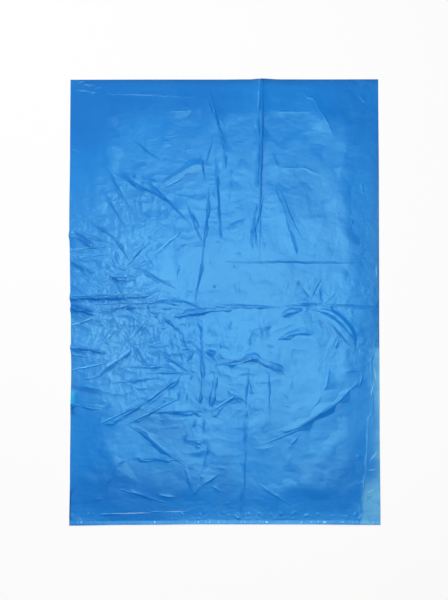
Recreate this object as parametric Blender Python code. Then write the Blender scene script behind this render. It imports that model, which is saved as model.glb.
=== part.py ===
"""A flat plastic bag: a tube of blown film laid flat, welded shut near the foot and open at the mouth.

Run it with: blender --background --python part.py
Units are metres, +Z is up. The bag lies on its back ply, the mouth towards +Y and the weld towards -Y.
The origin is in the middle of the bag, on the surface that it lies on.
"""

import math

import bmesh
import bpy
from mathutils import Vector
from mathutils.geometry import delaunay_2d_cdt

MM = 0.001

# Driving sizes
BAG_WIDTH = 500 * MM
BAG_LENGTH = 720 * MM
FILM_THICKNESS = 0.03 * MM
PLY_GAP = 0.3 * MM
AIR_CUSHION = 1.0 * MM
HIGHEST_RELIEF = 3.3 * MM
SKIRT_LENGTH = 5.0 * MM
WELD_WIDTH = 1.5 * MM
WELD_GAP = 0.05 * MM
FOOT_CURL_HEIGHT = 3.0 * MM
FOOT_CURL_RUN = 26.0 * MM

# Spacing of the points that the film is drawn with
EDGE_SPACING = 14 * MM
FOLD_SPACING = 15 * MM
OPEN_FILM_SPACING = 32 * MM
BACK_SPACING = 70 * MM
CLEAR_OF_FOLDS = 9 * MM
MERGE_DISTANCE = 0.4 * MM

# The film rises over this distance from an edge that holds it down
CUSHION_RUN = 35 * MM
WELD_RUN = 9 * MM
# Share of its own height by which a side fold bulges outwards
SIDE_BULGE = 0.45

# How far each edge departs from a straight line, as (percent along it, millimetres outwards)
LEFT_EDGE = [(0, 1.0), (12, -0.2), (25, -1.0), (35, -2.2), (45, -1.6), (58, -0.2), (68, 0.9), (85, -0.4), (100, -1.1)]
RIGHT_EDGE = [(0, 1.8), (25, 0.4), (50, -0.3), (75, -0.8), (100, -1.9)]
MOUTH_EDGE = [(0, -0.3), (25, 0.0), (50, 0.0), (58, 0.3), (62.5, 1.6), (68, 0.3), (80, 0.2), (100, 0.4)]
FOOT_EDGE = [(0, 0.9), (20, -0.4), (45, -1.2), (75, -1.0), (100, -0.2)]

# Each fold is (height in mm, run of its upper-left side in mm, run of its lower-right side in mm, route).
# A route is in percent across the bag from its left edge and up the bag from its foot.
# A ridge has a positive height and a valley a negative one.
PACKING_FOLDS = [
    (2.2, 12, 7, [(0, 51.4), (7, 51.3), (13, 51.4), (20, 51.3), (25, 51.2), (28, 51.9)]),
    (1.8, 6, 5, [(7, 48.9), (13, 48.9), (20, 48.9), (25, 48.8)]),
    (2.0, 9, 6, [(40, 50.4), (45, 49.9), (50, 49.0), (57, 48.8), (62, 48.9), (71, 48.9)]),
    (1.6, 8, 4, [(71, 49.0), (77, 49.7), (83, 49.3)]),
    (1.5, 8, 4, [(85, 49.1), (92, 48.9), (99, 48.9)]),
    (1.2, 9, 3, [(54, 59.2), (65, 59.1), (75, 58.9), (86, 58.9), (97, 58.5)]),
    (1.8, 8, 12, [(61.6, 100), (61.1, 94), (60.8, 88), (60.9, 82), (60.4, 75)]),
    (1.7, 7, 4, [(60.4, 73), (59.6, 69), (58.8, 65), (58.8, 61.5)]),
    (1.3, 7, 4, [(57, 27), (56.3, 21), (55.8, 14)]),
    (1.3, 7, 4, [(55.7, 12.5), (55.2, 6), (54.7, 1.2)]),
    (1.3, 6, 4, [(42.8, 39), (42.5, 34), (42.2, 29)]),
    (1.3, 5, 4, [(47.6, 82), (47.9, 76), (48.2, 70), (48.9, 63.5)]),
    (1.3, 5, 5, [(45.2, 75.5), (44.7, 70), (43.7, 62.5)]),
    (1.3, 6, 4, [(43.1, 61), (42.5, 55.5), (40.4, 51)]),
]

LEFT_FAN_FOLDS = [
    (2.6, 9, 12, [(0, 65.6), (4, 65.1), (7, 63.7), (9.5, 61.9)]),
    (2.0, 8, 5, [(5, 65.4), (9, 64.4), (12.5, 63.7), (14.5, 62.8)]),
    (-1.3, 5, 7, [(7.5, 68.4), (9.2, 66.9), (12, 65.8), (15, 64.0), (17.2, 61.9), (18.6, 59.4)]),
    (1.5, 5, 5, [(13.6, 62), (15, 59), (16.8, 56.8)]),
    (1.6, 6, 4, [(18.2, 58.8), (22, 61.8), (27.2, 64.6)]),
    (1.2, 6, 4, [(0.5, 60.2), (3, 58.2), (6, 55.8)]),
    (1.5, 5, 8, [(13.4, 55.8), (17, 56.1), (20.5, 55.6)]),
    (2.5, 8, 9, [(0, 48.4), (4, 48.0), (7, 47.5), (9.5, 46.6)]),
    (2.5, 9, 15, [(0, 39.7), (4, 39.4), (8, 38.8), (12.5, 38.4)]),
    (2.2, 10, 7, [(3, 32.9), (7, 33.2), (11, 34.6), (15, 36.6), (19, 38.5)]),
    (1.5, 6, 5, [(16, 43.3), (19, 43.1), (22, 43.1), (24, 45), (25, 47.5)]),
    (1.3, 5, 5, [(20.2, 41), (22.5, 38.6), (24.7, 36.6)]),
    (1.3, 5, 4, [(11, 41.2), (14, 44.1)]),
    (2.0, 14, 12, [(0, 27.5), (5, 26.6), (11.5, 26.1)]),
    (1.4, 4, 6, [(25.5, 49.2), (31, 49.1), (37, 49.2)]),
    (2.1, 8, 8, [(33, 46.9), (40, 47.9), (46, 48.5), (52, 48.6)]),
    (1.4, 5, 4, [(29, 46.9), (32, 45.8), (35, 43.9)]),
    (1.4, 6, 5, [(36.2, 43.8), (36.6, 41.2), (38, 38.9)]),
]

UPPER_FOLDS = [
    (-1.3, 4, 8, [(14.5, 79), (17, 78.7), (20, 77.5), (23, 76.0), (26.5, 74.2)]),
    (1.2, 7, 5, [(23, 78.6), (25.5, 77.8), (28.5, 76.4)]),
    (1.7, 12, 9, [(29, 76.4), (34, 78.9), (40, 80.2), (47, 79.9)]),
    (1.5, 9, 5, [(44.5, 97), (46.3, 92.5), (48.5, 87.5), (49.9, 83)]),
    (1.8, 12, 12, [(65, 85), (66.3, 78), (67.4, 70), (69.6, 64), (71.5, 60)]),
    (1.3, 10, 9, [(69, 79.3), (75, 79.1), (81.5, 77.7)]),
    (1.4, 10, 10, [(74.5, 99), (80, 94.2), (83.3, 90.5), (85.8, 86.5)]),
    (1.3, 6, 4, [(38, 72), (40.5, 69), (42.4, 65)]),
    (1.3, 6, 5, [(27, 60.8), (32, 63.4), (36, 66.6)]),
    (1.3, 6, 4, [(22.5, 58.2), (27, 55.6), (34, 53.4)]),
    (1.4, 8, 8, [(49, 66), (54, 67.2), (58, 68.8)]),
]

LOWER_FOLDS = [
    (3.0, 18, 11, [(61, 20.4), (66, 20.7), (71, 20.8), (75, 21.9), (83, 25.6), (90, 29.6), (94.8, 32.6)]),
    (1.8, 14, 10, [(87, 43), (84.6, 37), (83.2, 33), (79.5, 27), (76.5, 24.5)]),
    (1.9, 10, 9, [(47, 35.9), (54, 36.1), (59.5, 37.4), (64, 35.9), (71, 33.7)]),
    (1.7, 8, 6, [(67, 46.5), (71, 47.6), (76, 48.2)]),
    (1.6, 10, 10, [(80, 48.4), (86, 46.9), (91, 43.5), (91.5, 39)]),
    (1.6, 10, 8, [(64.5, 40.3), (70, 42.7), (79, 43.2)]),
    (1.6, 8, 7, [(45.7, 24.4), (50.5, 27.1), (52.8, 28.6), (57.4, 27.5)]),
    (1.6, 7, 8, [(47.2, 34), (46.4, 29.5), (45.0, 25.2)]),
    (1.8, 7, 5, [(10, 23.1), (13, 23.0), (20, 25.6), (29, 29.3), (35, 33.4)]),
    (1.4, 6, 5, [(19.5, 23.1), (24, 23.7), (27, 25.3), (33, 25.6), (43.5, 24.8)]),
    (1.8, 8, 5, [(22, 21.5), (25, 20.1), (30, 16.6), (35.5, 14.5), (41, 12.7)]),
    (1.4, 7, 9, [(36, 12.5), (37.8, 9.5), (38.5, 6.5)]),
    (1.5, 7, 6, [(20, 15.9), (24, 14.6), (31, 14.7), (37.5, 14.9)]),
    (1.5, 8, 5, [(41.5, 8.6), (44.5, 9.8), (47.6, 11.2)]),
    (1.4, 10, 8, [(58, 17.6), (63, 17.3), (69, 18.4)]),
    (1.4, 10, 9, [(60, 9), (66, 6.8), (71.5, 4)]),
    (1.2, 8, 7, [(19, 8.1), (23.5, 6.4), (29, 5.6)]),
    (1.2, 5, 5, [(11, 2.7), (20, 2.8), (32, 3.1)]),
    (2.4, 8, 5, [(97.6, 37), (97.8, 27), (96.6, 21), (95.6, 12), (94.2, 4), (93.9, 1.4)]),
]

FOLDS = PACKING_FOLDS + LEFT_FAN_FOLDS + UPPER_FOLDS + LOWER_FOLDS

FILM_BLUE = (0.014, 0.178, 0.65, 1.0)
FILM_ROUGHNESS = 0.35

# The side of a fold that its first run belongs to
UPPER_LEFT = Vector((-0.45, 0.89))

WELD_LOW = -BAG_LENGTH / 2 + SKIRT_LENGTH
WELD_HIGH = WELD_LOW + WELD_WIDTH


def smooth(share):
    """0 below 0, 1 above 1, and an even S between them."""
    share = min(max(share, 0.0), 1.0)
    return share * share * (3 - 2 * share)


def between(stations, at):
    """The value at a place between listed stations, as a smooth curve."""
    for (a, low), (b, high) in zip(stations, stations[1:]):
        if at <= b:
            return low + (high - low) * smooth((at - a) / (b - a))
    return stations[-1][1]


def left_x(y):
    return -BAG_WIDTH / 2 - between(LEFT_EDGE, 100 * (y / BAG_LENGTH + 0.5)) * MM


def right_x(y):
    return BAG_WIDTH / 2 + between(RIGHT_EDGE, 100 * (y / BAG_LENGTH + 0.5)) * MM


def mouth_y(x):
    return BAG_LENGTH / 2 + between(MOUTH_EDGE, 100 * (x / BAG_WIDTH + 0.5)) * MM


def foot_y(x):
    return -BAG_LENGTH / 2 - between(FOOT_EDGE, 100 * (x / BAG_WIDTH + 0.5)) * MM


def on_bag(across, along):
    """The plan point at this percent across and up the bag."""
    return Vector(((across / 100 - 0.5) * BAG_WIDTH, (along / 100 - 0.5) * BAG_LENGTH))


def spaced(route, spacing):
    """Points along a route of straight stretches, no further apart than the spacing."""
    points = [route[0]]
    for start, end in zip(route, route[1:]):
        steps = max(1, math.ceil((end - start).length / spacing))
        points += [start.lerp(end, step / steps) for step in range(1, steps + 1)]
    return points


class Fold:
    """A crease of the front ply, as a crest line with a slope on each side."""

    def __init__(self, height, upper_run, lower_run, route):
        self.height = height * MM
        self.runs = (upper_run * MM, lower_run * MM)
        self.crest = spaced([on_bag(*place) for place in route], FOLD_SPACING)
        self.length = sum((b - a).length for a, b in zip(self.crest, self.crest[1:]))

    def sideways(self, index):
        """The unit direction across the crest at one of its points, towards its upper left."""
        before, after = self.crest[max(index - 1, 0)], self.crest[min(index + 1, len(self.crest) - 1)]
        across = (after - before).orthogonal().normalized()
        return across if across.dot(UPPER_LEFT) > 0 else -across

    def lines(self):
        """The crest and its two feet, which are the lines that the film is bent along."""
        upper = [p + self.sideways(i) * self.runs[0] for i, p in enumerate(self.crest)]
        lower = [p - self.sideways(i) * self.runs[1] for i, p in enumerate(self.crest)]
        return self.crest, upper, lower

    def fade(self, travelled):
        """A fold runs out at its ends, unless it reaches the edge of the film there."""
        run_out = min(0.3 * self.length, 22 * MM)
        start = 1.0 if beyond_film(self.crest[0]) else smooth(travelled / run_out)
        end = 1.0 if beyond_film(self.crest[-1]) else smooth((self.length - travelled) / run_out)
        return start * end

    def lift(self, point):
        """How far this fold lifts the film at a plan point."""
        nearest, lift, travelled = None, 0.0, 0.0
        for index, (a, b) in enumerate(zip(self.crest, self.crest[1:])):
            stretch = b - a
            share = min(max((point - a).dot(stretch) / stretch.length_squared, 0.0), 1.0)
            offset = point - (a + stretch * share)
            if nearest is None or offset.length < nearest:
                nearest = offset.length
                run = self.runs[0] if offset.dot(self.sideways(index)) > 0 else self.runs[1]
                lift = self.fade(travelled + share * stretch.length) * max(0.0, 1 - nearest / run)
            travelled += stretch.length
        return self.height * lift


def beyond_film(point):
    """Whether a fold's end lies at the edge of the bag."""
    margin = 6 * MM
    past_side = abs(point.x) > BAG_WIDTH / 2 - margin
    return past_side or point.y > BAG_LENGTH / 2 - margin or point.y < WELD_HIGH + margin


ALL_FOLDS = [Fold(*fold) for fold in FOLDS]


def held_down(x, y):
    """0 where an edge or the weld holds the plies together, 1 out in the open film."""
    from_side = min(x - left_x(y), right_x(y) - x)
    from_mouth = mouth_y(x) - y
    from_weld = y - WELD_HIGH
    return smooth(from_side / CUSHION_RUN) * smooth(from_mouth / CUSHION_RUN) * smooth(from_weld / CUSHION_RUN)


def lying_height(x, y):
    """Height of the back ply's outer face: flat on the table, and curling up at the foot."""
    return FOOT_CURL_HEIGHT * smooth(1 - (y - foot_y(x)) / FOOT_CURL_RUN) ** 2


def front_gap(x, y):
    """Clear height between the two plies."""
    from_weld = max(WELD_LOW - y, y - WELD_HIGH)
    open_share = smooth(from_weld / WELD_RUN)
    relief = AIR_CUSHION * held_down(x, y) + sum(fold.lift(Vector((x, y))) for fold in ALL_FOLDS)
    relief = min(max(relief, 0.0), HIGHEST_RELIEF)
    return WELD_GAP + (PLY_GAP - WELD_GAP + relief) * open_share


def back_outer(x, y):
    return lying_height(x, y)


def back_inner(x, y):
    return lying_height(x, y) + FILM_THICKNESS


def front_inner(x, y):
    return back_inner(x, y) + front_gap(x, y)


def front_outer(x, y):
    return front_inner(x, y) + FILM_THICKNESS


def steps_between(low, high, spacing):
    count = max(1, math.ceil((high - low) / spacing))
    return [low + (high - low) * step / count for step in range(count + 1)]


def outline():
    """The plan of the bag: its four edges, each as a list of points, with the weld's ends on both sides."""
    across = steps_between(-BAG_WIDTH / 2, BAG_WIDTH / 2, EDGE_SPACING)[1:-1]
    up = [WELD_LOW, *steps_between(WELD_HIGH, BAG_LENGTH / 2, EDGE_SPACING)[:-1]]
    foot_left = Vector((left_x(-BAG_LENGTH / 2), foot_y(-BAG_WIDTH / 2)))
    foot_right = Vector((right_x(-BAG_LENGTH / 2), foot_y(BAG_WIDTH / 2)))
    mouth_left = Vector((left_x(BAG_LENGTH / 2), mouth_y(-BAG_WIDTH / 2)))
    mouth_right = Vector((right_x(BAG_LENGTH / 2), mouth_y(BAG_WIDTH / 2)))
    return {
        "foot": [foot_left, *[Vector((x, foot_y(x))) for x in across], foot_right],
        "mouth": [mouth_left, *[Vector((x, mouth_y(x))) for x in across], mouth_right],
        "left": [foot_left, *[Vector((left_x(y), y)) for y in up], mouth_left],
        "right": [foot_right, *[Vector((right_x(y), y)) for y in up], mouth_right],
    }


def weld_line(y):
    """Points along one border of the weld, from side to side."""
    across = steps_between(-BAG_WIDTH / 2, BAG_WIDTH / 2, EDGE_SPACING)[1:-1]
    return [Vector((left_x(y), y)), *[Vector((x, y)) for x in across], Vector((right_x(y), y))]


def well_inside(point, margin):
    inside_sides = left_x(point.y) + margin < point.x < right_x(point.y) - margin
    return inside_sides and WELD_HIGH + margin < point.y < mouth_y(point.x) - margin


class Plan:
    """A flat triangulation of the bag's outline, the weld's borders and the lines that are given."""

    def __init__(self, lines, spacing, stagger):
        self.points = []
        self.bends = []
        self.places = {}
        edges = outline()
        self.border = {name: self.chain(line) for name, line in edges.items()}
        self.weld = {name: self.chain(weld_line(y)) for name, y in (("low", WELD_LOW), ("high", WELD_HIGH))}
        for line in lines:
            self.chain_inside(line)
        self.fill(spacing, stagger)
        self.triangulate()

    def place(self, point):
        """The number of a plan point, new or already there."""
        key = (round(point.x / MERGE_DISTANCE), round(point.y / MERGE_DISTANCE))
        if key not in self.places:
            self.places[key] = len(self.points)
            self.points.append(point)
        return self.places[key]

    def chain(self, line):
        numbers = [self.place(point) for point in line]
        self.bends += [pair for pair in zip(numbers, numbers[1:]) if pair[0] != pair[1]]
        return numbers

    def chain_inside(self, line):
        """Adds the stretches of a line that lie well inside the outline."""
        stretch = []
        for point in line:
            if well_inside(point, EDGE_SPACING / 4):
                stretch.append(point)
            elif stretch:
                self.chain(stretch)
                stretch = []
        if stretch:
            self.chain(stretch)

    def fill(self, spacing, stagger):
        """Spreads points over the open film, clear of the lines already drawn."""
        drawn = list(self.points)
        for row, y in enumerate(steps_between(WELD_HIGH, BAG_LENGTH / 2, spacing)[1:-1]):
            shift = stagger * spacing * (row % 2)
            for x in steps_between(-BAG_WIDTH / 2, BAG_WIDTH / 2, spacing)[1:-1]:
                point = Vector((x + shift, y))
                crowded = any((point - other).length < CLEAR_OF_FOLDS for other in drawn)
                if well_inside(point, CLEAR_OF_FOLDS) and not crowded:
                    self.place(point)

    def triangulate(self):
        rings = [*self.border["foot"], *self.border["right"][1:]]
        rings += [*reversed(self.border["mouth"][:-1]), *reversed(self.border["left"][1:-1])]
        found = delaunay_2d_cdt(self.points, self.bends, [rings], 1, MERGE_DISTANCE / 4)
        now_at = {old: new for new, olds in enumerate(found[3]) for old in olds}
        self.points = found[0]
        self.triangles = [list(triangle) for triangle in found[2]]
        self.border = {name: [now_at[n] for n in line] for name, line in self.border.items()}
        self.weld = {name: [now_at[n] for n in line] for name, line in self.weld.items()}

    def in_weld(self, triangle):
        middle = sum(self.points[n].y for n in triangle) / 3
        return WELD_LOW < middle < WELD_HIGH


def skin(bm, plan, height, through_weld):
    """One face of one ply: each plan point at its height. An inner face stops at the weld."""
    verts = [bm.verts.new((*point, height(*point))) for point in plan.points]
    for triangle in plan.triangles:
        if through_weld or not plan.in_weld(triangle):
            bm.faces.new([verts[n] for n in triangle])
    return verts


def strip(bm, first, second):
    """Quads between two chains of points of equal length."""
    for a, b, c, d in zip(first, first[1:], second[1:], second):
        bm.faces.new((a, b, c, d))


def side_middles(bm, front, back, outwards, wall):
    """Points half way down a side fold, bulging outwards by a share of the fold's height."""
    middles = []
    for above, below in zip(front, back):
        bulge = SIDE_BULGE * (above.co.z - below.co.z) - wall
        middles.append(bm.verts.new((above.co + below.co) / 2 + Vector((outwards * bulge, 0, 0))))
    return middles


def film_mesh():
    """The whole film as one closed surface: outer and inner faces, side folds, rims and weld."""
    fold_lines = [line for fold in ALL_FOLDS for line in fold.lines()]
    front = Plan(fold_lines, OPEN_FILM_SPACING, 0.5)
    back = Plan([], BACK_SPACING, 0.0)
    bm = bmesh.new()
    outer_front = skin(bm, front, front_outer, through_weld=True)
    outer_back = skin(bm, back, back_outer, through_weld=True)
    inner_front = skin(bm, front, front_inner, through_weld=False)
    inner_back = skin(bm, back, back_inner, through_weld=False)

    middles = {}
    for side, outwards in (("left", -1), ("right", 1)):
        chains = []
        for above, below, wall in ((outer_front, outer_back, 0.0), (inner_front, inner_back, FILM_THICKNESS)):
            top = [above[n] for n in front.border[side]]
            bottom = [below[n] for n in back.border[side]]
            middle = side_middles(bm, top, bottom, outwards, wall)
            chains.append((top, middle, bottom))
        strip(bm, chains[0][0], chains[0][1])
        strip(bm, chains[0][1], chains[0][2])
        # The weld's two ends are the second and third points up each side
        for chamber in (slice(0, 2), slice(2, None)):
            strip(bm, chains[1][0][chamber], chains[1][1][chamber])
            strip(bm, chains[1][1][chamber], chains[1][2][chamber])
        middles[side] = (chains[0][1], chains[1][1])

    for rim, end in (("mouth", -1), ("foot", 0)):
        left_outer, left_inner = middles["left"][0][end], middles["left"][1][end]
        right_outer, right_inner = middles["right"][0][end], middles["right"][1][end]
        outer_loop = [left_outer, *[outer_front[n] for n in front.border[rim]], right_outer]
        outer_loop += [outer_back[n] for n in reversed(back.border[rim])] + [left_outer]
        inner_loop = [left_inner, *[inner_front[n] for n in front.border[rim]], right_inner]
        inner_loop += [inner_back[n] for n in reversed(back.border[rim])] + [left_inner]
        strip(bm, outer_loop, inner_loop)

    for border, at in (("low", 1), ("high", 2)):
        above = [inner_front[n] for n in front.weld[border]]
        below = [inner_back[n] for n in back.weld[border]]
        strip(bm, above, below)
        bm.faces.new((above[0], middles["left"][1][at], below[0]))
        bm.faces.new((above[-1], middles["right"][1][at], below[-1]))

    bmesh.ops.delete(bm, geom=[v for v in bm.verts if not v.link_faces], context="VERTS")
    bmesh.ops.recalc_face_normals(bm, faces=bm.faces)
    mesh = bpy.data.meshes.new("film_bag")
    bm.to_mesh(mesh)
    bm.free()
    return mesh


def film_material():
    """Blue polyethylene film, glossy and slightly uneven."""
    material = bpy.data.materials.new("blue_polyethylene_film")
    material.use_nodes = True
    shader = material.node_tree.nodes["Principled BSDF"]
    shader.inputs["Base Color"].default_value = FILM_BLUE
    shader.inputs["Roughness"].default_value = FILM_ROUGHNESS
    shader.inputs["Metallic"].default_value = 0.0
    return material


def clear_scene():
    for old in list(bpy.data.objects):
        bpy.data.objects.remove(old)


def build():
    clear_scene()
    mesh = film_mesh()
    mesh.materials.append(film_material())
    bag = bpy.data.objects.new("film_bag", mesh)
    bpy.context.scene.collection.objects.link(bag)
    print("film bag:", len(mesh.polygons), "faces")


build()
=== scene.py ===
# %% [markdown]
# # A flat bag of blue film
# The object is one tube of blown polyethylene film, laid flat, welded shut near its foot and open at its
# mouth. It has been folded into a small packet and opened again, so it lies full of creases. All that the
# eye reads on it is relief and gloss: creases under 6 mm high that catch a soft light. So nearly all of
# this lesson is about drawing that relief, and the last part is about the film's shine.

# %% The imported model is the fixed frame
import math

import bpy
import numpy as np
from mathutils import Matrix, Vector
from mathutils.geometry import delaunay_2d_cdt


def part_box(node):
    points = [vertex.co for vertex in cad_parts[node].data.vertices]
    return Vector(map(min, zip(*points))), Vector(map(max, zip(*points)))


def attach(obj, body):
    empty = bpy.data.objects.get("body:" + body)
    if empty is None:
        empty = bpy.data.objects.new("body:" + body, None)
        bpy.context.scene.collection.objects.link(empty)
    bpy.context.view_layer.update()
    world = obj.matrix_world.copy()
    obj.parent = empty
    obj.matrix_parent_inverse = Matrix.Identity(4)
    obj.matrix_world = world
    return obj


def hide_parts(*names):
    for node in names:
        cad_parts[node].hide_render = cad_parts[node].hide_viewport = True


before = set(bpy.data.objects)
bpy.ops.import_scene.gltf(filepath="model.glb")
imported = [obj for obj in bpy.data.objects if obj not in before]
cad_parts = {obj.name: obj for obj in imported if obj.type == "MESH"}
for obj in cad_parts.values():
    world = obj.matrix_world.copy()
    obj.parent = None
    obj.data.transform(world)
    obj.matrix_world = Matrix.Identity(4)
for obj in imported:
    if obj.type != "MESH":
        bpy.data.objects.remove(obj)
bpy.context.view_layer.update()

MM = 0.001
bag_low, bag_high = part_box("film_bag")
print("solid of the bag, mm:", [round((b - a) / MM, 1) for a, b in zip(bag_low, bag_high)])

# %% [markdown]
# ## Sizes
# The bag is measured in two ways here. Thicknesses and heights are in millimetres. Places on it are in
# percent: across from its left edge, and up from its foot, because that is how a crease is read off a
# picture.

# %% Sizes of the bag
BAG_WIDTH = 500 * MM
BAG_LENGTH = 720 * MM
FILM_THICKNESS = 0.03 * MM
PLY_GAP = 0.3 * MM
AIR_CUSHION = 2.0 * MM
HIGHEST_RELIEF = 6.0 * MM
SKIRT_LENGTH = 5.0 * MM
WELD_WIDTH = 1.5 * MM
WELD_GAP = 0.05 * MM
WELD_LOW = -BAG_LENGTH / 2 + SKIRT_LENGTH
WELD_HIGH = WELD_LOW + WELD_WIDTH
FOOT_CURL_HEIGHT = 3.0 * MM
FOOT_CURL_RUN = 26.0 * MM

# How far each edge departs from a straight line: (percent along it, millimetres outwards)
LEFT_EDGE = [
    (0, 1.0), (12, -0.2), (25, -1.0), (35, -2.2), (45, -1.6), (58, -0.2), (68, 0.9), (85, -0.4),
    (100, -1.1),
]
RIGHT_EDGE = [(0, 1.8), (25, 0.4), (50, -0.3), (75, -0.8), (100, -1.9)]
MOUTH_EDGE = [(0, -0.3), (25, 0.0), (50, 0.0), (58, 0.3), (62.5, 1.6), (68, 0.3), (80, 0.2), (100, 0.4)]
FOOT_EDGE = [(0, 0.9), (20, -0.4), (45, -1.2), (75, -1.0), (100, -0.2)]


def smooth(share):
    """0 below 0, 1 above 1, and an even S between them."""
    share = np.clip(share, 0.0, 1.0)
    return share * share * (3 - 2 * share)


def edge_offset(stations, percent):
    """Metres by which an edge stands out of a straight line, between its listed stations."""
    places = np.array([station[0] for station in stations], float)
    outwards = np.array([station[1] for station in stations])
    percent = np.clip(percent, 0.0, 100.0)
    after = np.clip(np.searchsorted(places, percent), 1, len(places) - 1)
    share = smooth((percent - places[after - 1]) / (places[after] - places[after - 1]))
    return (outwards[after - 1] + (outwards[after] - outwards[after - 1]) * share) * MM


def on_bag(across, along):
    """Plan positions of places given in percent, on the bag's true outline."""
    foot = -BAG_LENGTH / 2 - edge_offset(FOOT_EDGE, across)
    mouth = BAG_LENGTH / 2 + edge_offset(MOUTH_EDGE, across)
    left = -BAG_WIDTH / 2 - edge_offset(LEFT_EDGE, along)
    right = BAG_WIDTH / 2 + edge_offset(RIGHT_EDGE, along)
    return left + (right - left) * across / 100, foot + (mouth - foot) * along / 100


# %% [markdown]
# ## A sheet to draw on
# Relief is drawn as numbers on a fine square lattice over the flat bag, like a rubbing. numpy works on the
# whole lattice at once, which is quick, and the mesh then takes its heights from it. A lattice of 1 mm is a
# little finer than the narrowest crease that the film shows.

# %% The drawing lattice
LATTICE = 1.0 * MM
columns = round(BAG_WIDTH / LATTICE) + 1
rows = round(BAG_LENGTH / LATTICE) + 1
lattice_x, lattice_y = np.meshgrid(
    np.linspace(-BAG_WIDTH / 2, BAG_WIDTH / 2, columns),
    np.linspace(-BAG_LENGTH / 2, BAG_LENGTH / 2, rows),
)
across_percent = 100 * (lattice_x / BAG_WIDTH + 0.5)
along_percent = 100 * (lattice_y / BAG_LENGTH + 0.5)
print("drawing lattice:", columns, "by", rows)


def blurred(field, spread):
    """The field with every value spread over its neighbours, out to about this distance."""
    reach = max(1, round(2.5 * spread / LATTICE))
    weights = np.exp(-0.5 * (np.arange(-reach, reach + 1) * LATTICE / spread) ** 2)
    weights /= weights.sum()
    for axis in (0, 1):
        padding = [(reach, reach) if axis == side else (0, 0) for side in (0, 1)]
        padded = np.pad(field, padding, mode="edge")
        length = field.shape[axis]
        field = sum(w * padded.take(range(k, k + length), axis) for k, w in enumerate(weights))
    return field


def sampled(field, across, along):
    """The field's values at places given in percent."""
    column = np.clip(np.asarray(across) / 100 * (columns - 1), 0, columns - 1.001)
    row = np.clip(np.asarray(along) / 100 * (rows - 1), 0, rows - 1.001)
    i, j = column.astype(int), row.astype(int)
    a, b = column - i, row - j
    below = field[j, i] * (1 - a) + field[j, i + 1] * a
    above = field[j + 1, i] * (1 - a) + field[j + 1, i + 1] * a
    return below * (1 - b) + above * b


def patch(across, along, reach_across, reach_along):
    """A soft round mask: 1 at its middle, fading out over the reach in percent."""
    far = ((across_percent - across) / reach_across) ** 2 + ((along_percent - along) / reach_along) ** 2
    return np.exp(-far)


# %% [markdown]
# ## Creases
# A crease in film is a sharp crest on a low rise. A cloth simulation doesn't make one, because these are
# old fold lines and grip marks pressed into the film, so each is drawn as a line instead. It is given by
# its height, the run of its rise on the upper-left side and on the lower-right side, all in millimetres,
# and its route in percent. Each route was chosen one by one, and a smooth curve is passed through its points.
#
# They are grouped by where they lie, as one would letter the regions of a map.

# %% Creases along the mouth and in the upper left
UPPER_LEFT_CREASES = [
    (1.0, 4, 3, [(1, 97.8), (5, 97.3), (9.5, 97.2)]),
    (0.9, 3, 3, [(4.2, 98.9), (6, 98.5), (8, 98.6)]),
    (0.5, 5, 3, [(9, 97), (18, 96.7), (31, 96.4), (41, 96)]),
    (0.5, 3, 3, [(0.5, 84), (3, 84.2)]),
    (0.5, 5, 4, [(19, 90.1), (22, 88.3)]),
    (0.6, 6, 5, [(30, 92.5), (34, 92.9), (40, 93)]),
    (0.5, 4, 4, [(29.5, 86.3), (33, 85.7)]),
    (0.5, 4, 4, [(30, 85.4), (35, 85.3)]),
    (0.6, 4, 3, [(19, 83.6), (22, 83.4), (24, 82.8)]),
    (0.5, 4, 3, [(22, 81), (25, 80.2)]),
    (0.9, 4, 4, [(12.8, 79.8), (14.3, 77), (16, 74.5), (17, 73), (19, 71.2)]),
    (1.6, 6, 4, [(14.5, 78.8), (16.5, 78.8), (18, 78.2), (20, 77), (22, 75.8), (24, 74.9), (26, 73.5)]),
    (0.7, 3, 3, [(20, 78.8), (21.5, 77.5)]),
    (1.0, 5, 4, [(22.5, 78), (26, 77.3), (28.5, 76.4)]),
    (0.8, 3, 3, [(23, 77.3), (25, 76.3)]),
    (1.5, 6, 4, [(25.5, 76.2), (27.5, 75), (29, 74), (32, 72.5), (34, 71.5)]),
    (0.5, 4, 3, [(6, 76.4), (14, 76.3)]),
    (0.5, 4, 3, [(37, 84), (39.5, 84.5)]),
    (0.6, 4, 3, [(34, 73.9), (39.5, 73.8)]),
    (0.8, 5, 4, [(11, 74.5), (12, 73.3), (13.5, 72), (14.5, 70.5), (15, 69)]),
    (0.6, 4, 4, [(5, 69.2), (9, 69.9), (12, 70.2)]),
    (0.8, 4, 4, [(7, 68.9), (11, 68.4), (14, 67)]),
    (0.6, 5, 4, [(21, 74.2), (23.5, 74.2), (26.5, 73)]),
    (0.9, 5, 5, [(22.5, 70.2), (26, 69.2), (28, 69.4)]),
    (0.6, 4, 4, [(28, 67.5), (32.5, 65.3)]),
    (0.5, 4, 3, [(24, 65.2), (27, 64.3), (30, 63.5)]),
]

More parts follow.
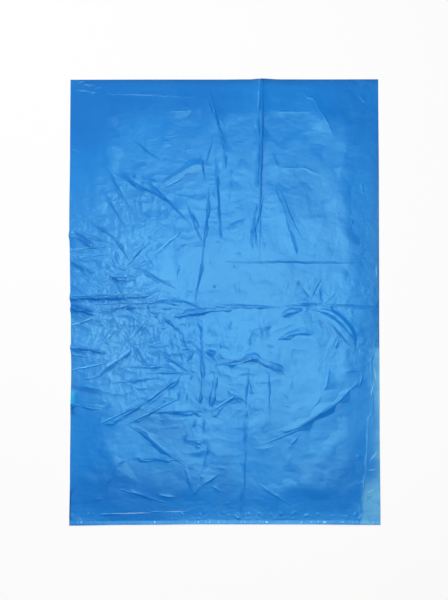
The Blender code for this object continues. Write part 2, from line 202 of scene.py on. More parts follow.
# %% Creases of the upper middle, where two long ones run down from the mouth
UPPER_MIDDLE_CREASES = [
    (1.4, 8, 4, [(44.5, 95.5), (45.5, 93.5), (47.3, 91.3), (48.2, 89), (48.8, 87), (49.5, 85), (50, 83),
                 (50.4, 78.3)]),
    (0.7, 4, 3, [(48.5, 91.5), (50, 89)]),
    (1.8, 9, 5, [(61.7, 100), (61.5, 97), (61.2, 94), (60.9, 90), (61.2, 86), (60.8, 80), (60.6, 76),
                 (60.6, 73.5)]),
    (0.7, 3, 4, [(62.6, 94.5), (62.4, 90), (62.5, 84)]),
    (1.7, 5, 4, [(60.6, 73), (60.3, 71), (60, 69), (59.4, 67.5), (59, 65.5), (58.8, 63.5), (59, 62),
                 (59.6, 60.5)]),
    (0.7, 3, 3, [(58.3, 87.3), (59.7, 84.2)]),
    (0.6, 3, 3, [(61.2, 72.8), (61.6, 70.5), (61.8, 68)]),
    (0.5, 3, 2, [(58.3, 87.7), (60.5, 87.7)]),
    (1.3, 4, 3, [(48, 82), (47.9, 78), (48.1, 74), (48.3, 71), (48.6, 68), (48.9, 65), (49.5, 63)]),
    (0.6, 5, 4, [(52, 82), (52.3, 80), (52, 77), (51.5, 70)]),
    (0.6, 5, 5, [(40.5, 77.5), (40.3, 72)]),
    (0.7, 3, 3, [(44.5, 78.4), (47.5, 78.3)]),
    (0.8, 3, 3, [(44.3, 76.5), (47.5, 76.3)]),
    (0.8, 4, 3, [(46, 75), (47, 73.7), (48, 72.5)]),
    (0.5, 4, 3, [(53, 85.7), (57, 85.6)]),
    (1.0, 6, 5, [(65, 85), (66, 82.5), (68, 79)]),
    (1.2, 4, 3, [(38.3, 71.5), (39.5, 70), (41.2, 67.3), (42.3, 65)]),
    (1.4, 4, 3, [(45.4, 74), (45, 71), (44.6, 68), (44.2, 65), (43.9, 63)]),
    (1.2, 4, 3, [(42.9, 60.8), (43.1, 58), (42.3, 55), (40.9, 51.4)]),
    (0.6, 3, 3, [(47, 63.7), (49.5, 62.8)]),
    (0.4, 3, 3, [(40, 62.4), (47, 62.3)]),
    (0.8, 4, 4, [(36, 59.5), (35.2, 57), (34.5, 55)]),
    (0.6, 4, 3, [(33, 61), (37, 62.5), (39, 63)]),
    (1.2, 5, 8, [(49.5, 65.8), (54, 67), (57, 68.2)]),
    (0.9, 3, 3, [(57.6, 69), (56.6, 66), (55.8, 62.5)]),
    (0.7, 4, 4, [(60.3, 67), (62.5, 63), (62.8, 60)]),
    (0.5, 3, 3, [(65.5, 69), (65.5, 66.5)]),
    (0.5, 3, 3, [(53, 60.6), (56.5, 60.8)]),
    (0.5, 2.5, 2.5, [(53.5, 59), (53.3, 57.2)]),
    (0.5, 2.5, 2.5, [(54.6, 58.8), (54.3, 57)]),
    (0.5, 2.5, 2.5, [(53.6, 54.5), (54, 51.2)]),
    (0.5, 2.5, 2.5, [(54.8, 54), (54.6, 51)]),
    (0.6, 3, 2.5, [(45.8, 53.4), (47.6, 53.5)]),
    (0.8, 3, 3, [(36.8, 50.6), (37.3, 52), (38.5, 52.5), (39.7, 51.9), (40.3, 50.7)]),
    (0.6, 2.5, 2.5, [(37.6, 50.6), (38, 51.4), (38.6, 51.6), (39.3, 51.2), (39.6, 50.6)]),
]

# %% Creases of the upper right
UPPER_RIGHT_CREASES = [
    (0.9, 7, 6, [(75, 98), (76.5, 96.3), (79, 95.5), (81, 93), (83.5, 90.3), (84.5, 88.5), (85.5, 86.5)]),
    (0.6, 6, 4, [(65, 92.9), (72, 92.7), (79, 92.8)]),
    (0.9, 8, 4, [(67, 80), (72, 80.1), (76, 80), (79, 79.2), (82, 77.8)]),
    (0.5, 4, 3, [(76, 77.8), (82, 77)]),
    (0.4, 4, 3, [(71.5, 78.5), (71.5, 73)]),
    (0.4, 4, 3, [(94, 78), (95, 73.5)]),
    (0.5, 4, 3, [(93, 97), (97, 94)]),
    (0.9, 7, 8, [(66, 77), (67, 74), (69, 71), (70.5, 67), (72, 63.5), (74, 59.3)]),
    (0.5, 4, 4, [(73, 69), (74, 66)]),
    (0.4, 4, 3, [(86.8, 64), (87, 62)]),
    (0.4, 4, 3, [(91, 69), (91.5, 67)]),
    (0.5, 4, 3, [(93, 60.5), (96.5, 62.3)]),
    (0.6, 3, 3, [(94.5, 60), (96.5, 58.8)]),
    (0.2, 3, 3, [(47.5, 59.4), (60, 58.8), (72, 58.9), (85, 58.7), (97, 58.4)]),
    (0.8, 4, 3, [(75.5, 53.7), (77, 53), (79, 52), (79.5, 51)]),
    (0.7, 3, 3, [(73, 54.8), (74, 53.8), (75.2, 53.6)]),
    (0.6, 3, 3, [(72.8, 53.6), (74.4, 55.2)]),
    (1.3, 4, 4, [(80, 53.4), (80.8, 51.6), (81.3, 50.3), (82.4, 49.2)]),
    (0.7, 4, 4, [(85.3, 55), (85.5, 53), (84.7, 50)]),
    (0.5, 4, 3, [(94, 52.2), (97.5, 53.6)]),
]

# %% Creases of the left side, which fan out from where the packet was gripped
LEFT_FAN_CREASES = [
    (1.8, 7, 4, [(7, 68.3), (8.5, 67.2), (10, 66.6), (12, 65.7), (14, 64.4), (15.5, 63.5), (17, 62),
                 (18.7, 60.1)]),
    (1.4, 5, 4, [(3.5, 65.4), (8, 64.3), (12, 63.7), (14.2, 62.8)]),
    (2.2, 6, 12, [(-1, 65.2), (3, 64.4), (5, 63.6), (7, 62.4), (8.8, 61.5)]),
    (1.0, 4, 4, [(8.8, 61.3), (11, 61.9), (14.8, 62.4)]),
    (0.9, 4, 3, [(0.5, 61.5), (6.5, 61.4)]),
    (1.0, 4, 3, [(0.3, 60), (6, 59.5), (11.8, 60.1)]),
    (1.3, 5, 3, [(0.3, 59.5), (2, 58.5), (3.5, 57.3), (6.2, 55.4)]),
    (0.7, 3, 3, [(5.5, 58.5), (8, 58.3)]),
    (1.6, 5, 4, [(14.8, 62.5), (15.2, 60.5), (15.8, 58.5), (17.2, 56.6)]),
    (0.9, 4, 3, [(13.4, 61.5), (14.2, 59.4), (16, 57)]),
    (1.8, 5, 4, [(18.8, 58.7), (22.5, 61.4), (27.2, 64.3)]),
    (1.4, 6, 5, [(27, 60.4), (31, 62.3), (34.8, 64.8), (36, 66.6)]),
    (1.3, 7, 5, [(22, 58), (24, 56.8), (26, 55.8), (28, 54.9), (33, 53.4)]),
    (1.7, 5, 10, [(11, 55.8), (14, 55.8), (17, 55.8), (20.5, 55.4), (22.5, 54.9)]),
    (0.8, 3, 3, [(13.5, 55.6), (17, 56.6)]),
    (1.2, 3, 4, [(8, 56.8), (9, 55), (11, 53.5), (13.2, 51.6)]),
    (0.8, 3, 3, [(9.5, 55.5), (10.5, 54)]),
    (0.9, 4, 3, [(7, 53.3), (9.5, 52.3), (12, 51.6)]),
    (0.8, 3, 3, [(6, 56.9), (9.5, 56.8)]),
    (1.0, 4, 4, [(14, 54.8), (15.5, 53.6), (17, 52.2)]),
    (0.7, 3, 3, [(10.6, 56.9), (11.3, 55), (12.6, 53.7)]),
    (0.7, 3, 3, [(4.5, 54.6), (6, 53.4), (6.6, 51.8)]),
    (0.5, 3, 3, [(3, 69.2), (1, 69.9)]),
    (0.4, 4, 4, [(1, 72.8), (4, 73.3)]),
    (0.4, 4, 4, [(0.6, 76.2), (4, 76)]),
    (0.4, 4, 4, [(0.6, 81), (5, 80.4)]),
]

# %% Creases of the packing fold, across the middle of the bag
MIDDLE_CREASES = [
    (2.4, 7, 8, [(-1, 50.9), (4, 51), (10, 51), (18, 51.2), (24, 51.3), (27.5, 51.9)]),
    (0.9, 3, 4, [(1, 52), (4, 52.4), (6.5, 52.2)]),
    (1.6, 5, 4, [(7, 48.6), (12, 48.8), (18, 48.8), (24, 48.7)]),
    (1.0, 4, 3, [(11.5, 49.3), (16, 50), (22, 50.4)]),
    (1.4, 3, 3, [(25, 48.1), (26.5, 47.7), (28, 47.2), (27.2, 46.6), (25.5, 46.3)]),
    (1.2, 3, 3, [(25, 49), (26.5, 50.2), (28.5, 50.7)]),
    (1.2, 4, 3, [(26, 48.7), (29.5, 48.5), (33, 48.6), (38, 49)]),
    (0.9, 4, 3, [(28, 50), (31, 49.9), (34, 49.5), (36, 49)]),
    (1.0, 4, 3, [(34, 47), (37, 47.8), (40, 49), (42, 49.3)]),
    (2.0, 7, 6, [(32, 46.3), (35, 46.8), (40, 47.4), (44, 47.8), (47, 48.1), (52, 48.1), (55, 48.5)]),
    (1.8, 7, 4, [(40.5, 50.3), (44, 49.7), (48, 48.9), (51, 48.6), (60, 48.7), (68, 48.4)]),
    (0.9, 3, 3, [(59.5, 49.7), (61, 49), (65, 48.9), (70, 48.8)]),
    (1.6, 7, 4, [(72, 48.9), (76, 49.4), (80, 49.2), (83, 48.9), (86, 48.7)]),
    (1.3, 7, 3, [(86, 48.8), (91, 48.6), (98.5, 48.6)]),
    (1.2, 3, 3, [(70.6, 49), (71.3, 48.4), (72.2, 48.9)]),
    (1.1, 3, 3, [(83.6, 49.3), (84.4, 48.5), (85.2, 49)]),
    (1.1, 3, 3, [(84.6, 48), (85.6, 47.3), (86.6, 47.7)]),
    (1.0, 3, 3, [(90.2, 48.2), (91, 47.7), (91.9, 48.1)]),
    (0.9, 3, 3, [(96.7, 49.9), (97.5, 49.4), (98.4, 49.8)]),
    (0.8, 3, 3, [(97, 48.2), (98.6, 47.7)]),
    (1.7, 7, 7, [(67.2, 46.2), (69, 46.9), (71, 47.5), (76, 48.2)]),
]

# %% Creases of the lower left
LOWER_LEFT_CREASES = [
    (2.0, 7, 7, [(-1, 48.3), (2, 48.2), (5, 47.9), (8.7, 46.9)]),
    (1.3, 5, 4, [(1, 44.3), (3.5, 45.4), (6, 46.3), (8.5, 46.8)]),
    (0.9, 3, 3, [(7, 45.1), (11.5, 45)]),
    (0.9, 4, 3, [(8.5, 46), (9.5, 47), (10.5, 48)]),
    (1.3, 4, 4, [(10.5, 43.3), (12, 44.9), (13.5, 46.3), (15.3, 47.7)]),
    (0.8, 3, 3, [(12, 44.3), (14.5, 45.3)]),
    (1.5, 4, 4, [(10.8, 40.8), (12.5, 42.3), (14.2, 44)]),
    (1.1, 5, 4, [(16, 43.5), (17.2, 45), (18, 46.8)]),
    (1.2, 5, 5, [(15.5, 42.8), (17.5, 42.5), (20, 42.4), (22.5, 43)]),
    (1.7, 4, 4, [(24.8, 47.7), (24.8, 46), (24.2, 44.5), (23, 43), (21, 41.7), (20, 41.2)]),
    (0.8, 4, 3, [(25.5, 45.5), (26, 44), (26.5, 42.5)]),
    (1.4, 5, 4, [(29, 46.5), (32.5, 45.3), (34, 44.6), (36, 43.2)]),
    (0.7, 4, 3, [(28, 44.2), (32, 44.1)]),
    (1.3, 4, 4, [(20.3, 40.8), (21.5, 39.3), (23, 38), (25.2, 36.2)]),
    (2.4, 9, 7, [(20, 40.6), (18.8, 38.9), (17, 37.9), (15, 37), (13, 36.1), (11, 35), (8.5, 33.4),
                 (4, 32.6)]),
    (1.1, 5, 4, [(14.5, 39.5), (12.5, 37.3), (10, 36)]),
    (1.2, 7, 6, [(18, 43), (17.3, 40.5), (15.8, 38)]),
    (2.5, 7, 13, [(-1, 39.9), (4, 39.7), (8, 39.1), (12.5, 38.5)]),
    (0.9, 3, 3, [(0.5, 37.5), (3.5, 38.4), (6, 38.8)]),
    (1.1, 4, 4, [(2.6, 32.4), (5, 33), (7, 33.2), (9.2, 34.4)]),
    (0.7, 3, 3, [(3, 33.7), (5.5, 34.4)]),
    (0.9, 4, 4, [(2.5, 31.8), (6, 31), (11.5, 30.3)]),
    (0.8, 4, 3, [(12.8, 34), (12.3, 30)]),
    (1.0, 6, 4, [(15, 31.8), (22, 32.4), (29.5, 33.2)]),
    (0.9, 5, 4, [(27, 34), (31, 34.2), (36, 34.1)]),
    (1.1, 5, 4, [(23.5, 36), (26, 35.9), (28, 35.6), (30, 35.9)]),
    (1.1, 5, 4, [(23.5, 39.6), (26, 40.3), (28, 40.8), (31, 41.1)]),
    (1.0, 5, 4, [(27, 39.5), (31, 39.4), (36.5, 39.2)]),
    (1.3, 5, 4, [(29.3, 38), (31, 37), (33, 36.4), (37, 34.8)]),
    (0.5, 4, 3, [(20, 30.7), (28, 30.6)]),
    (1.6, 14, 11, [(-1, 27.3), (3, 26.9), (6, 26.3), (11, 25.9)]),
    (0.8, 4, 4, [(11, 25.9), (12.7, 26.7), (14, 27.6)]),
    (0.8, 4, 3, [(9, 27), (12, 28)]),
    (0.6, 3, 3, [(10.5, 24.7), (9, 22)]),
]

# %% The long diagonals of the lower left, and the creases under them
LOWER_LEFT_DIAGONALS = [
    (1.7, 7, 4, [(9.8, 22.8), (13.5, 22.8), (15, 23.5), (19.5, 25.4), (23, 27), (27, 29), (30, 30.5),
                 (36.5, 33.4)]),
    (1.0, 4, 4, [(21.5, 25), (25, 26.8), (30, 29.5), (36, 33)]),
    (1.2, 5, 4, [(19, 23.1), (23, 23.6), (25, 24.6), (30, 27.6), (33, 29.5)]),
    (1.8, 6, 4, [(19, 22.6), (23, 21), (25, 19.7), (27, 18.2), (29, 16.9), (33, 15.1), (36, 14.2)]),
    (1.3, 6, 4, [(26, 24.7), (28, 25.4), (34, 25.2), (38, 24.8), (40, 25.2), (41.5, 24.6), (44, 24.5)]),
    (0.9, 4, 3, [(25, 24), (31, 23.4)]),
    (1.4, 6, 5, [(19.5, 15.6), (22, 15), (24, 14.4), (29, 14.6), (32, 14.3), (36, 14.4)]),
    (1.1, 10, 8, [(11, 8), (13.5, 11), (16, 13.7), (20, 15.5)]),
    (1.2, 8, 6, [(18, 8.2), (22, 7), (26, 5.8), (29, 5.5)]),
    (1.0, 5, 4, [(27, 6.9), (31, 6.4), (35.5, 6)]),
    (2.2, 4, 3, [(8, 2.3), (10.5, 2.4), (16, 2.5), (22, 2.7), (32, 3)]),
    (0.7, 3, 3, [(36.5, 2.9), (40, 2.9)]),
    (0.7, 3, 3, [(42.7, 3.1), (44.3, 3.1)]),
    (0.5, 6, 5, [(7, 5.6), (9.5, 6), (11.5, 5.8)]),
]

# %% Creases of the lower middle
LOWER_MIDDLE_CREASES = [
    (1.3, 5, 4, [(36.2, 43.5), (36.7, 41.5), (38, 38.8)]),
    (1.2, 4, 4, [(40.5, 46), (41.5, 45.2), (42.3, 44), (42.8, 41), (42.7, 40)]),
    (1.2, 3, 3, [(41.2, 39.8), (42.3, 39.5), (43.4, 39.9)]),
    (0.9, 3, 3, [(40.4, 41.6), (41.4, 41.3)]),
    (1.2, 4, 4, [(40, 40), (39.2, 38.3), (38, 37), (36, 36.6)]),
    (1.4, 5, 4, [(42.8, 39), (43, 35), (42.7, 32), (42, 28), (41.8, 25.5)]),
    (1.3, 3, 6, [(43, 38.9), (45, 38.6), (47, 38.2)]),
    (1.1, 4, 4, [(46.5, 38.8), (49, 37.7), (51.5, 36.8)]),
    (0.9, 4, 3, [(53.5, 39.5), (53.6, 38), (53.8, 36.3)]),
    (0.8, 4, 3, [(51, 40), (52.4, 38.2), (53.8, 36.5)]),
    (1.8, 8, 8, [(48, 35.7), (54, 36), (57, 36.7), (59.5, 37.2), (63, 36), (66, 35.1), (71.5, 33.1)]),
    (0.8, 5, 4, [(57.5, 37.9), (59.5, 38.1), (62, 37.2)]),
    (1.8, 8, 9, [(47.6, 35), (47.3, 33), (46.8, 30), (45.6, 25)]),
    (1.1, 4, 4, [(40.3, 35.5), (39.4, 33.5), (38.5, 31.5)]),
    (0.9, 4, 4, [(36, 31), (35.2, 29.2), (34.5, 27.5)]),
    (0.8, 3, 3, [(38, 30), (37.5, 27.5)]),
    (0.9, 4, 4, [(47, 33.8), (50, 33.5)]),
    (0.8, 4, 4, [(48, 32.3), (52, 31.6), (57, 31.8)]),
    (0.8, 4, 4, [(49.5, 30.5), (52, 29.6), (55, 28.5)]),
    (1.6, 6, 6, [(44.5, 24.3), (46, 24.1), (47.5, 24.9), (49, 26.3), (51, 27.4), (52.8, 28.5), (55, 27.7),
                 (57.5, 27.3)]),
    (1.0, 4, 4, [(57.3, 33), (57.8, 31.5), (58.5, 30), (60, 28)]),
    (0.8, 3, 3, [(57, 29.8), (58.3, 28.4), (57.8, 27), (59.6, 25.4)]),
    (0.9, 4, 4, [(56, 47.3), (55, 46)]),
    (0.9, 4, 4, [(52.5, 46.5), (51.6, 44.7), (50.5, 43)]),
    (1.0, 5, 5, [(50, 43), (49, 41), (48, 38.7)]),
    (1.0, 5, 4, [(59.5, 44.5), (58.3, 42.5), (57.8, 39)]),
    (0.9, 4, 4, [(61.5, 44.9), (64, 44.4), (69, 44.7)]),
    (0.8, 4, 4, [(62, 40.3), (64.5, 40), (67, 39.9)]),
    (0.9, 4, 4, [(68, 47.5), (66.5, 46.5), (65, 45.7)]),
    (0.6, 4, 4, [(64.5, 31), (64, 28), (63.5, 25)]),
    (1.0, 3, 3, [(43.2, 24.4), (43.4, 22), (43.5, 20)]),
    (1.1, 3, 3, [(44.7, 20), (44.8, 18), (44.3, 16), (43.7, 14), (42.5, 11)]),
    (0.9, 3, 3, [(41, 24), (40, 22.5), (39, 21)]),
    (0.9, 3, 3, [(39.2, 23), (38.4, 21.8), (37.4, 19.8), (36.8, 18)]),
    (0.8, 3, 3, [(40, 18.6), (41.5, 18.2), (43, 18.1)]),
    (0.8, 3, 3, [(40.3, 17.6), (42.6, 17.2)]),
    (1.1, 4, 3, [(37.3, 13.6), (39, 12.9), (41, 12.3)]),
    (1.1, 3, 3, [(41.7, 11.4), (42.5, 10.6), (43.4, 11.2)]),
    (1.5, 6, 5, [(41.5, 8.6), (43.5, 9.4), (45.6, 10.2), (47.7, 11)]),
    (1.1, 5, 5, [(42.3, 9.3), (41, 7.8), (39.3, 6.3)]),
    (1.4, 5, 9, [(35.6, 14.4), (37.6, 11.2), (39, 6.8)]),
    (1.4, 7, 4, [(57, 27), (56.8, 23), (56.5, 20), (56, 14.5)]),
    (1.4, 7, 4, [(55.8, 12), (55.5, 9), (55.2, 6), (54.8, 1.5)]),
    (0.7, 4, 4, [(47, 13), (49, 12.7), (51, 12.3)]),
    (0.9, 7, 6, [(58, 17.3), (61, 16.9), (64, 17.2), (67, 18)]),
    (0.8, 5, 5, [(45, 8.8), (47.5, 7.9), (50, 7)]),
    (0.6, 4, 4, [(48.5, 4.8), (52, 4.7)]),
    (1.1, 8, 7, [(60.5, 8.5), (63, 7.8), (66, 6.8), (68, 6), (71, 4.8), (73, 3.7)]),
]

# %% Creases of the lower right
LOWER_RIGHT_CREASES = [
    (1.7, 9, 12, [(76, 48.3), (82, 47.8), (85, 46.9), (88, 45.1), (91.3, 42.3), (92, 39.8), (90.5, 37.8)]),
    (1.3, 8, 7, [(65, 40.2), (68, 41.7), (74, 43), (80, 42.5)]),
    (0.8, 5, 4, [(72, 39.2), (78, 38.7)]),
    (0.9, 5, 5, [(87, 42), (86, 40.3), (85, 38.5)]),
    (0.7, 3, 3, [(92, 41), (94, 40.5), (96.5, 40.8)]),
    (0.7, 3, 3, [(92.5, 39.3), (95, 38.7), (97, 38.9)]),
    (0.5, 4, 4, [(86, 35), (91, 34.6), (97, 34.5)]),
    (0.9, 10, 9, [(84.2, 37.3), (83, 32), (81.5, 29.5), (79.5, 27), (77, 24.8)]),
    (0.7, 4, 4, [(71.8, 33), (71.3, 31.6), (70.5, 30)]),
    (0.8, 3, 3, [(68.5, 29.6), (69.8, 28.8), (70.8, 27.4)]),
    (0.7, 3, 3, [(69, 27.2), (70.4, 26.6), (71.8, 26.4)]),
    (1.2, 13, 9, [(65, 21), (70, 21), (74, 21.8), (77, 23), (80, 24.6), (83, 25.7), (86, 27.2), (90, 30),
                  (94, 32.5)]),
    (1.2, 6, 8, [(69.5, 16.2), (73, 19.2), (78, 21.8)]),
    (0.6, 4, 4, [(94.5, 33.8), (93.8, 32), (93, 30.3)]),
    (0.8, 5, 4, [(71.5, 16.5), (71, 15), (69.5, 12.6)]),
    (0.6, 4, 4, [(92, 15.2), (94.5, 15.5)]),
    (0.6, 4, 4, [(82, 5), (80.5, 4.3)]),
    (0.8, 4, 4, [(60.8, 20.6), (64.5, 21), (68, 21.6)]),
]

# %% [markdown]
# Two softer forms go with the creases. A wedge is a strip of film that lies tilted, and a swell is a rise
# with no crest at all. Both are drawn along a route as a crease is, only with another cross-section.

# %% Wedges, where a strip of film lies tilted away from the light and so reads as a dark band
WEDGES = [
    (2.2, 5, 12, [(-2, 65.6), (2, 65.2), (5, 64.2), (7.5, 62.9), (9.2, 61.6)]),
    (1.6, 4, 10, [(10.5, 56), (14, 56), (17.5, 55.9), (20.5, 55.4), (23, 54.7)]),
    (2.4, 5, 13, [(-2, 51.6), (4, 51.6), (10, 51.5), (18, 51.5), (24, 51.5), (28, 51.9)]),
    (2.0, 5, 9, [(-2, 48.7), (2, 48.6), (5, 48.2), (9, 47)]),
    (2.4, 5, 15, [(-2, 40.3), (3, 40.1), (8, 39.3), (13, 38.5)]),
    (1.8, 6, 9, [(19.8, 40.5), (18.6, 38.8), (16.5, 37.6), (13.5, 36.4), (10.5, 34.9), (7.5, 33.3)]),
    (1.6, 4, 9, [(31.5, 46.9), (36, 47.6), (42, 48.2), (48, 48.6), (54, 48.7)]),
    (1.2, 4, 7, [(28, 50.4), (33, 50), (37.5, 49.5)]),
    (1.4, 10, 12, [(28.5, 75.8), (33, 78), (37, 79.6), (41, 80.9), (47.5, 80.4)]),
    (1.1, 5, 12, [(49.5, 66.3), (54, 67.5), (57.5, 68.8)]),
    (1.2, 3, 10, [(43.2, 39.2), (45, 38.9), (47.5, 38.4)]),
    (1.6, 9, 12, [(47.5, 36.2), (54, 36.5), (59, 37.5), (63, 36.6), (67, 35.5), (72, 33.4)]),
    (1.5, 5, 12, [(46.8, 35), (46.3, 32), (45.6, 29), (44.6, 25)]),
    (1.6, 6, 12, [(76, 48.6), (82, 48.2), (85.5, 47.3), (88.8, 45.4), (92, 42.2), (92.2, 39)]),
    (1.3, 8, 10, [(65, 40.6), (68, 42), (74, 43.3), (80, 43)]),
    (2.0, 12, 16, [(64, 21.4), (70, 21.4), (75, 22.6), (80, 25), (86, 27.6), (90, 30.2), (95, 33)]),
    (1.2, 4, 12, [(36.4, 14.6), (38, 11.4), (39.6, 7)]),
    (0.9, 4, 8, [(1, 27.6), (6, 27), (11.5, 26.6)]),
    (1.0, 5, 9, [(67, 46.6), (71, 48), (76, 48.6)]),
]

# %% Swells, the soft rises that the film keeps from how it was folded
SWELLS = [
    (1.1, 26, 26, [(44.5, 98), (46.5, 91), (49, 84), (50, 77)]),
    (1.2, 20, 20, [(61.5, 100), (61, 88), (60.6, 76)]),
    (0.9, 22, 24, [(66, 84), (67.5, 74), (71, 65), (74, 58)]),
    (0.9, 26, 24, [(75, 98), (81, 93), (86, 85)]),
    (0.7, 24, 24, [(22, 96), (24, 88), (26, 81)]),
    (0.7, 26, 26, [(88, 80), (88, 70), (90, 61)]),
    (0.8, 22, 22, [(12, 92), (14, 84), (13, 76)]),
    (0.8, 22, 22, [(84, 37), (82, 30), (77, 24)]),
    (0.9, 24, 22, [(10, 21), (14, 14), (22, 9)]),
    (0.8, 24, 22, [(64, 33), (63, 26), (65, 18)]),
    (0.9, 22, 22, [(74, 16), (78, 9), (86, 4)]),
]

CREASE_REGIONS = [
    UPPER_LEFT_CREASES,
    UPPER_MIDDLE_CREASES,
    UPPER_RIGHT_CREASES,
    LEFT_FAN_CREASES,
    MIDDLE_CREASES,
    LOWER_LEFT_CREASES,
    LOWER_LEFT_DIAGONALS,
    LOWER_MIDDLE_CREASES,
    LOWER_RIGHT_CREASES,
]

# %% [markdown]
# Each crease has two parts: a narrow sharp ridge, because stiff thin film bends in a line, and a broad low
# rise on which it stands. A real crease also wavers a little in its course and its height, so each gets
# some of that by chance, and it runs out at its ends unless it reaches an edge of the bag.

# %% Drawing one crease
UPPER_LEFT = np.array([-0.6, 0.8])
CURVE_STEP = 2 * MM
# A crease loses its height over this length at each end
RUN_OUT = 22 * MM
# Slopes of the ridge to its upper left and lower right, for traced creases and for thin chance ones
RIDGE_SLOPES = {"crease": (0.4, 0.34), "thread": (0.24, 0.2)}
# The ridge's height is a least one in mm, plus a share of the crease's height
RIDGE_LEAST = {"crease": 0.18, "thread": 0.12}
RIDGE_SHARE = 0.4
RISE_SHARE = 0.3
RISE_SPREAD = 2.2
# The film was gripped at its left, and its creases are lower towards the right
CALM_FROM = (34, 56)
CALM_SHARE = (1.0, 0.62)
WAVER = 0.5 * MM
crease_chance = np.random.default_rng(5)


def straight_place(across, along):
    """A place in percent, as metres on the straight outline that the lattice covers."""
    return np.array([(across / 100 - 0.5) * BAG_WIDTH, (along / 100 - 0.5) * BAG_LENGTH])


def smooth_route(places):
    """Close points on a curve that passes through every place (Catmull and Rom's curve)."""
    points = [straight_place(*place) for place in places]
    points = [2 * points[0] - points[1], *points, 2 * points[-1] - points[-2]]
    route = []
    for before, start, end, after in zip(points, points[1:], points[2:], points[3:]):
        steps = max(2, math.ceil(np.linalg.norm(end - start) / CURVE_STEP))
        for t in np.arange(steps) / steps:
            route.append(
                0.5 * (2 * start + (end - before) * t
                       + (2 * before - 5 * start + 4 * end - after) * t**2
                       + (3 * start - before - 3 * end + after) * t**3)
            )
    route.append(points[-2])
    return np.array(route)


def reaches_edge(point):
    """Whether a point lies at a side, at the mouth or at the weld, where a crease doesn't run out."""
    at_side = abs(point[0]) > BAG_WIDTH / 2 - 3 * MM
    return at_side or point[1] > BAG_LENGTH / 2 - 3 * MM or point[1] < WELD_HIGH + 3 * MM


def around(route, reach):
    """The part of the lattice that lies within reach of a route, as a pair of slices."""
    low, high = route.min(0) - reach, route.max(0) + reach
    first_column, last_column = np.searchsorted(lattice_x[0], [low[0], high[0]])
    first_row, last_row = np.searchsorted(lattice_y[:, 0], [low[1], high[1]])
    return slice(first_row, last_row), slice(first_column, last_column)


def wavered(route):
    """The route with a slow chance waver across its course, and a chance height factor for each point."""
    travelled = np.arange(len(route)) * CURVE_STEP
    phases = crease_chance.uniform(0, 2 * math.pi, 4)
    sway = np.sin(travelled / (4.5 * MM) + phases[0]) + np.sin(travelled / (2.6 * MM) + phases[1])
    slow_change = 0.2 * np.sin(travelled / (7 * MM) + phases[2])
    quick_change = 0.15 * np.sin(travelled / (3.4 * MM) + phases[3])
    height = 1 + slow_change + quick_change
    along = np.gradient(route, axis=0)
    along /= np.maximum(np.linalg.norm(along, axis=1, keepdims=True), 1e-9)
    return route + np.column_stack([-along[:, 1], along[:, 0]]) * (0.5 * WAVER * sway)[:, None], height


def draw_crease(field, kind, height, upper_run, lower_run, places):
    """Adds one crease, wedge or swell to the field."""
    route = smooth_route(places)
    height_factor = np.ones(len(route))
    if kind in RIDGE_SLOPES:
        route, height_factor = wavered(route)
        upper_run, lower_run = upper_run * RISE_SPREAD, lower_run * RISE_SPREAD
    window = around(route, max(upper_run, lower_run, 3) * MM)
    x, y = lattice_x[window], lattice_y[window]
    if x.size == 0:
        return
    chord = route[-1] - route[0]
    turned = 1.0 if np.dot([-chord[1], chord[0]], UPPER_LEFT) > 0 else -1.0
    nearest = np.full(x.shape, np.inf)
    above = np.zeros(x.shape)
    travelled_at = np.zeros(x.shape)
    factor = np.ones(x.shape)
    travelled = 0.0
    for (ax, ay), (bx, by), here, there in zip(route, route[1:], height_factor, height_factor[1:]):
        dx, dy = bx - ax, by - ay
        length = math.hypot(dx, dy)
        share = np.clip(((x - ax) * dx + (y - ay) * dy) / length**2, 0, 1)
        off_x, off_y = x - ax - share * dx, y - ay - share * dy
        distance = np.hypot(off_x, off_y)
        closer = distance < nearest
        nearest[closer] = distance[closer]
        above[closer] = (turned * (off_y * dx - off_x * dy))[closer]
        travelled_at[closer] = (travelled + share * length)[closer]
        factor[closer] = (here + (there - here) * share)[closer]
        travelled += length
    run_out = min(RUN_OUT, 0.4 * travelled) if kind in RIDGE_SLOPES else 0.4 * travelled
    start = 1.0 if reaches_edge(route[0]) else smooth(travelled_at / run_out)
    end = 1.0 if reaches_edge(route[-1]) else smooth((travelled - travelled_at) / run_out)
    narrowed = 0.3 + 0.7 * start * end
    t = np.clip(nearest / (np.where(above > 0, upper_run, lower_run) * MM * narrowed), 0, 1)
    if kind == "wedge":
        shape = height * (1 - t)
    elif kind == "swell":
        shape = height * (1 - t * t) ** 2
    else:
        ridge_slope = np.where(above > 0, *RIDGE_SLOPES[kind])
        ridge_height = (RIDGE_LEAST[kind] + RIDGE_SHARE * height) * factor * start * end
        ridge = np.clip(ridge_height - ridge_slope * nearest / MM, 0, None)
        field[window] += (ridge + RISE_SHARE * height * factor * (1 - t) ** 1.6 * start * end) * MM
        return
    field[window] += shape * MM * start * end


creases = np.zeros(lattice_x.shape)
for region in CREASE_REGIONS:
    for height, upper_run, lower_run, places in region:
        calm = np.interp(places[0][0], CALM_FROM, CALM_SHARE)
        draw_crease(creases, "crease", calm * height, upper_run, lower_run, places)
for wedge in WEDGES:
    draw_crease(creases, "wedge", *wedge)
for swell in SWELLS:
    draw_crease(creases, "swell", *swell)
print("creases:", sum(len(region) for region in CREASE_REGIONS), "highest, mm:", round(creases.max() / MM, 2))

# %% [markdown]
# ## Crumple
# Between its creases crumpled film is made of small flat facets, each tilted its own way. A net of triangles
# with chance heights at its corners has just that look. Nets of several sizes are laid over each other, and
# masks say where the film is crumpled hard and where it is nearly smooth.

# %% Facets
FACET_SEED = 11


